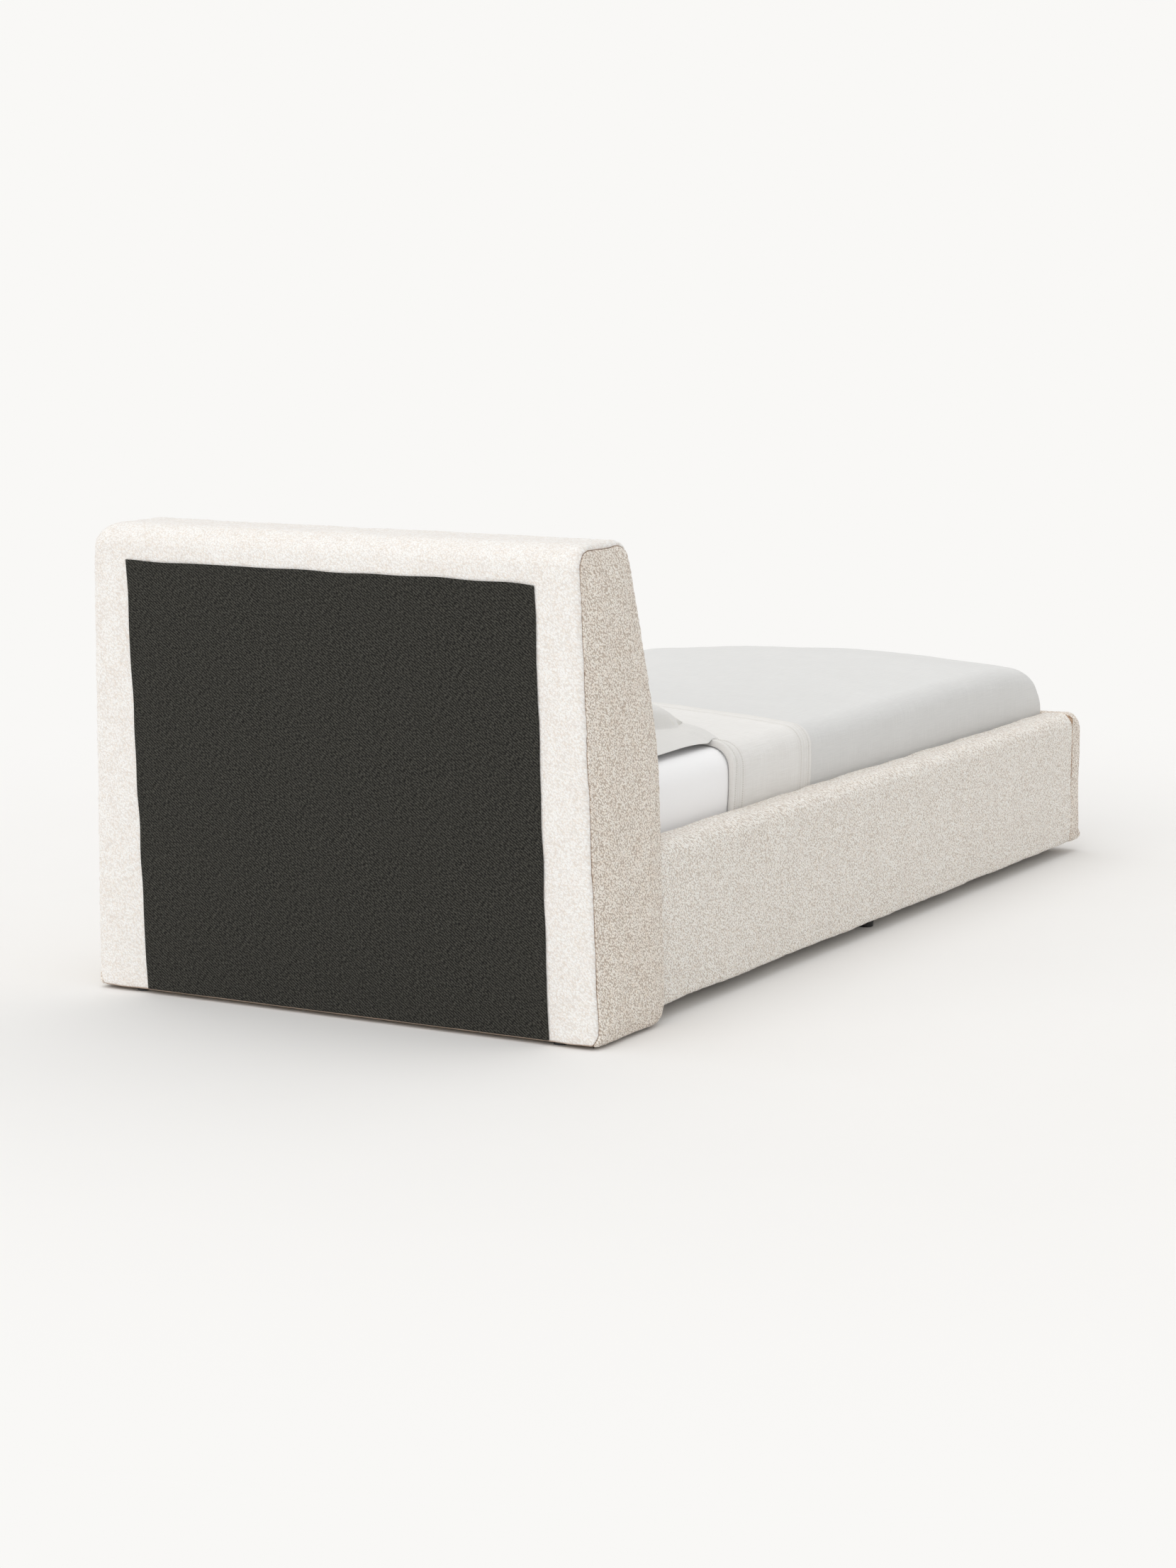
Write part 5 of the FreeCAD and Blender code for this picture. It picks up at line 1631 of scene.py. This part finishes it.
def hardboard_material(name):
    """Pressed fibre: brown, flecked, and printed on its rough side with the mesh it was pressed on."""
    material, place = new_material(name)
    parts = parts_of(place)
    mesh_print = sine(parts["X"] * (math.tau / MESH_PRINT)) * sine(parts["Z"] * (math.tau / MESH_PRINT))
    fibres = noise_of(place, 0.0025, 5.0, 0.7)
    colour = ramp(fibres, (0.3, srgb(98, 68, 44)), (0.7, srgb(146, 108, 74)))
    finish_material(colour, 0.75, mesh_print + fibres, 0.4, 0.0003)
    return material


WOODS = {                          # pale and dark parts of the grain
    "plywood": (srgb(222, 190, 146), srgb(196, 158, 112)),
    "softwood": (srgb(228, 200, 158), srgb(198, 160, 112)),
    "beech": (srgb(222, 188, 150), srgb(196, 156, 118)),
}
finishes = {
    "zinc_steel": metal_material("zinc_plated_steel", srgb(216, 218, 222), srgb(172, 174, 180), 0.34),
    "brass_insert": metal_material("brass", srgb(224, 190, 122), srgb(186, 148, 84), 0.32),
    "black_plastic": plastic_material("black_plastic_moulded", srgb(44, 44, 45), srgb(28, 28, 29)),
    "hardboard": hardboard_material("pressed_hardboard"),
}


def finish_of(slot, low, high):
    """The material for a CAD node of this slot. Wood's grain runs along the node's longest side."""
    if slot not in WOODS:
        return finishes[slot]
    size = list(high - low)
    along, across = AXES[size.index(max(size))], AXES[size.index(min(size))]
    key = f"{slot}_grain_{along}"
    if key not in finishes:
        finishes[key] = wood_material(key, along, *WOODS[slot], ply=across if slot == "plywood" else None)
    return finishes[key]


# %% [markdown]
# ## Finish of the CAD nodes
# The timber frame, slats, brackets, screws, feet and glides keep their CAD shape and get only a finish.
# Each node arrives with a material named after its slot in the record, so that name says which to use.

# %% Give each CAD node its finish
SOFT_SLOTS = ("boucle", "black_cloth", "foam", "webbing", "ticking", "white_sheet", "coverlet_cotton",
              "blanket_linen", "pillow_ticking", "pillow_linen")
finished = 0
for name, node in nodes.items():
    for place in node.material_slots:
        slot = place.material.name.split(".")[0]
        if slot not in SOFT_SLOTS:
            place.material = finish_of(slot, *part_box(name))
            finished += 1
print(finished, "material slots of CAD nodes finished, with", len(finishes), "materials")

# %% The headboard's lower board
board_low, board_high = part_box("headboard_lower_board")
arc_radius = BOTTOM_ROUND - COVER
middle_y, middle_z = head_front + BOTTOM_ROUND, head_bottom + BOTTOM_ROUND
turns = np.linspace(0, math.acos((middle_y - board_high.y) / arc_radius), 12)
straight = [(board_low.y, z) for z in np.linspace(board_high.z, middle_z, 6)[:-1]]
curved = np.stack([middle_y - arc_radius * np.cos(turns), middle_z - arc_radius * np.sin(turns)], axis=1)
front = np.vstack([straight, curved])
front[-1, 0] -= 0.002
back_z = np.linspace(board_high.z, front[-1, 1], len(front))
back = np.stack([np.full(len(front), board_high.y), back_z], axis=1)
shares = (1 - np.cos(np.linspace(0, math.pi / 2, 7)))[None, :, None]
plan = front[:, None] * (1 - shares) + back[:, None] * shares
edge_round = FRONT_EDGE - COVER
half = board_high.x - round_off(board_low.y + edge_round - plan[:, :, 0], edge_round)
right_cap = np.concatenate([half[:, :, None], plan], axis=2)
board_points = np.vstack([right_cap.reshape(-1, 3), (right_cap * (-1, 1, 1)).reshape(-1, 3)])
number = numbered(right_cap)
faces = grid_faces(number) + grid_faces(number + number.size, flip=True)
rim = rim_of(number)
faces += [[a, b, b + number.size, a + number.size] for a, b in zip(rim, np.roll(rim, -1))]
lower_board = make_piece("headboard_lower_board_rounded", board_points, faces,
                         finish_of("plywood", board_low, board_high))
shade_smooth(lower_board, False)

# %% Webbing tapes under the slats
SLATS = [f"slat_{k:02d}" for k in range(1, 15)]
TAPE_WIDTH, TAPE_THICKNESS = 0.025, 0.0009
TAPE_SAG = 0.0022
HERRINGBONE, TAPE_RIB = 0.004, 0.0022
webbing, place = new_material("herringbone_webbing")
parts = parts_of(place)
zigzag = maths("PINGPONG", parts["X"], HERRINGBONE)
rib = sine((parts["Y"] + zigzag) * (math.tau / TAPE_RIB))
yarn = noise_of(place, 0.0009, 2.0)
colour = ramp(rib * 0.4 + yarn, (0.2, srgb(176, 168, 152)), (0.9, srgb(232, 226, 212)))
finish_material(colour, 0.85, rib, 0.5, 0.0004)
tape_low, tape_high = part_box("slat_tapes")
slat_edges = [[corner.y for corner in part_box(name)] for name in SLATS]
gaps = [(behind[1], before[0]) for before, behind in zip(slat_edges, slat_edges[1:])]
y = np.linspace(tape_high.y - 0.0005, tape_low.y + 0.0005, 265)
z = tape_high.z - 0.00005
for low, high in gaps:
    z = z - TAPE_SAG * np.where((y > low) & (y < high), np.sin((y - low) / (high - low) * math.pi), 0)
across = np.linspace(tape_high.x, tape_high.x - TAPE_WIDTH, 9)
tapes = []
for name, side in SIDES.items():
    grid = np.stack(np.broadcast_arrays(side * across[None], y[:, None], z[:, None]), axis=2)
    tapes.append(shell_piece(f"slat_tape_{name}", grid, grid - (0, 0, TAPE_THICKNESS), webbing, every=(2, 2)))

# %% [markdown]
# ## Stitches
# A row of stitches is one small shape repeated along a line, which is what Geometry Nodes do best. The
# tree turns the line's edges into a curve, puts a point at every stitch, and sets a short thread on each,
# turned along the seam and each a little differently. The same tree sews the pillowcase's border and the
# blanket's hems.

# %% The stitch tree
STITCH_SEED = 7
LEAST, MOST = 0.85, 1.15           # how the size of the stitches varies


def make_stitch_tree():
    tree, given = new_geometry_tree("stitch_row", stitch_pitch=0.004, stitch_length=0.003,
                                    thread_radius=0.0004, seed=STITCH_SEED)
    line = add_node("GeometryNodeMeshToCurve", {"Mesh": given["Geometry"]})
    spaced = add_node("GeometryNodeResampleCurve", {"Curve": line[0], "Length": given["Stitch Pitch"]},
                      mode="LENGTH")
    along = add_node("GeometryNodeInputTangent", tree=tree)[0]
    turned = add_node("FunctionNodeAlignRotationToVector", {"Vector": along}, axis="X")
    thread = add_node("GeometryNodeMeshUVSphere", {"Segments": 6, "Rings": 4, "Radius": 1.0}, tree=tree)
    vary = add_node("FunctionNodeRandomValue", {2: LEAST, 3: MOST, "Seed": given["Seed"]}, data_type="FLOAT")
    size = add_node("ShaderNodeCombineXYZ", {"X": given["Stitch Length"] * 0.5, "Y": given["Thread Radius"],
                                             "Z": given["Thread Radius"]})[0]
    placed = add_node("GeometryNodeInstanceOnPoints", {"Points": spaced[0], "Instance": thread[0],
                                                       "Rotation": turned[0], "Scale": scaled(size, vary[1])})
    finish_geometry(placed[0], given)
    return tree


stitch_tree = make_stitch_tree()


def sew(name, lines, material, pitch, length, radius):
    """Stitches along lines of points. A line whose last point is its first goes all the way round."""
    points, edges = [], []
    for row in lines:
        first = len(points)
        points += [tuple(p) for p in row]
        edges += [(first + k, first + k + 1) for k in range(len(row) - 1)]
    mesh = bpy.data.meshes.new(name)
    mesh.from_pydata(points, edges, [])
    made = add_object(name, mesh)
    run_tree(made, stitch_tree, {"Stitch Pitch": pitch, "Stitch Length": length, "Thread Radius": radius,
                                 "Seed": STITCH_SEED, "Material": material})
    made.data.materials.clear()
    made.data.materials.append(material)
    made.data.polygons.foreach_set("material_index", [0] * len(made.data.polygons))
    print(f"{name}: {len(made.data.polygons) // 24} stitches")
    return shade_smooth(made)


# %% Sewing thread and the rows of stitches
thread_material, place = new_material("sewing_thread")
twist = sine(noise_of(place, 0.002) * 40.0)
colour = ramp(twist, (0.0, srgb(224, 221, 215)), (1.0, srgb(240, 238, 233)))
finish_material(colour, 0.7, twist, 0.2, 0.0002)
seam_line = looser[rim_number] + (0, 0, CASE_CLOTH + 0.0004)
case_stitches = sew("pillowcase_border_stitches", [np.vstack([seam_line, seam_line[:1]])], thread_material,
                    0.0034, 0.0026, 0.00035)
hem_lines = []
for inset in HOLE_ROWS:
    for away in (from_head, from_foot):
        row = np.argmin(np.abs(away - inset - 0.003))
        hem_lines.append((blanket_surface + blanket_normal * 0.0003)[int(row)])
hem_stitches = sew("folded_blanket_hem_stitches", hem_lines, thread_material, 0.0046, 0.0030, 0.0003)

# %% [markdown]
# ## What rides on what
# Every piece moves with one of three bodies: the frame, the mattress with what lies on it, or the pillow.
# The CAD nodes that a piece stands for are hidden.

def declare(piece, body, node=None):
    """Attaches a piece to the body it rides on, and hides the CAD node that it stands for."""
    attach(piece, body)
    if node is not None:
        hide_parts(node)


ON_FRAME = [                       # piece, the CAD node that it stands for, its slot, and how full it is
    (headboard_panel, "headboard_cover", "boucle", 0.5),
    (front_foam, "headboard_front_foam", "foam", 0.9),
    (foot_cover, "foot_cover", "boucle", 0.5),
    (foot_foam, "foot_foam", "foam", 0.9),
]
for name in SIDES:
    ON_FRAME += [
        (end_covers[name], f"headboard_end_cover_{name}", "boucle", 0.5),
        (end_foams[name], f"headboard_end_foam_{name}", "foam", 0.9),
        (rail_covers[name], f"rail_cover_{name}", "boucle", 0.5),
        (rail_foams[name], f"rail_foam_{name}", "foam", 0.9),
    ]
for piece, node, slot, fill in ON_FRAME:
    declare(piece, "frame", node)
declare(lower_board, "frame", "headboard_lower_board")
declare(dust_cloth, "frame", "headboard_back_cloth")
for tape in tapes:
    declare(tape, "frame", "slat_tapes")

declare(coverlet, "mattress", "coverlet")
declare(blanket, "mattress", "folded_blanket")
declare(fitted_sheet, "mattress", "fitted_sheet")
declare(mattress, "mattress", "mattress")
declare(pillow, "pillow", "pillow")
declare(pillowcase, "pillow", "pillowcase")
declare(case_stitches, "pillow")
declare(hem_stitches, "mattress")

# %% Measure the whole bed and finish
low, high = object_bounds()
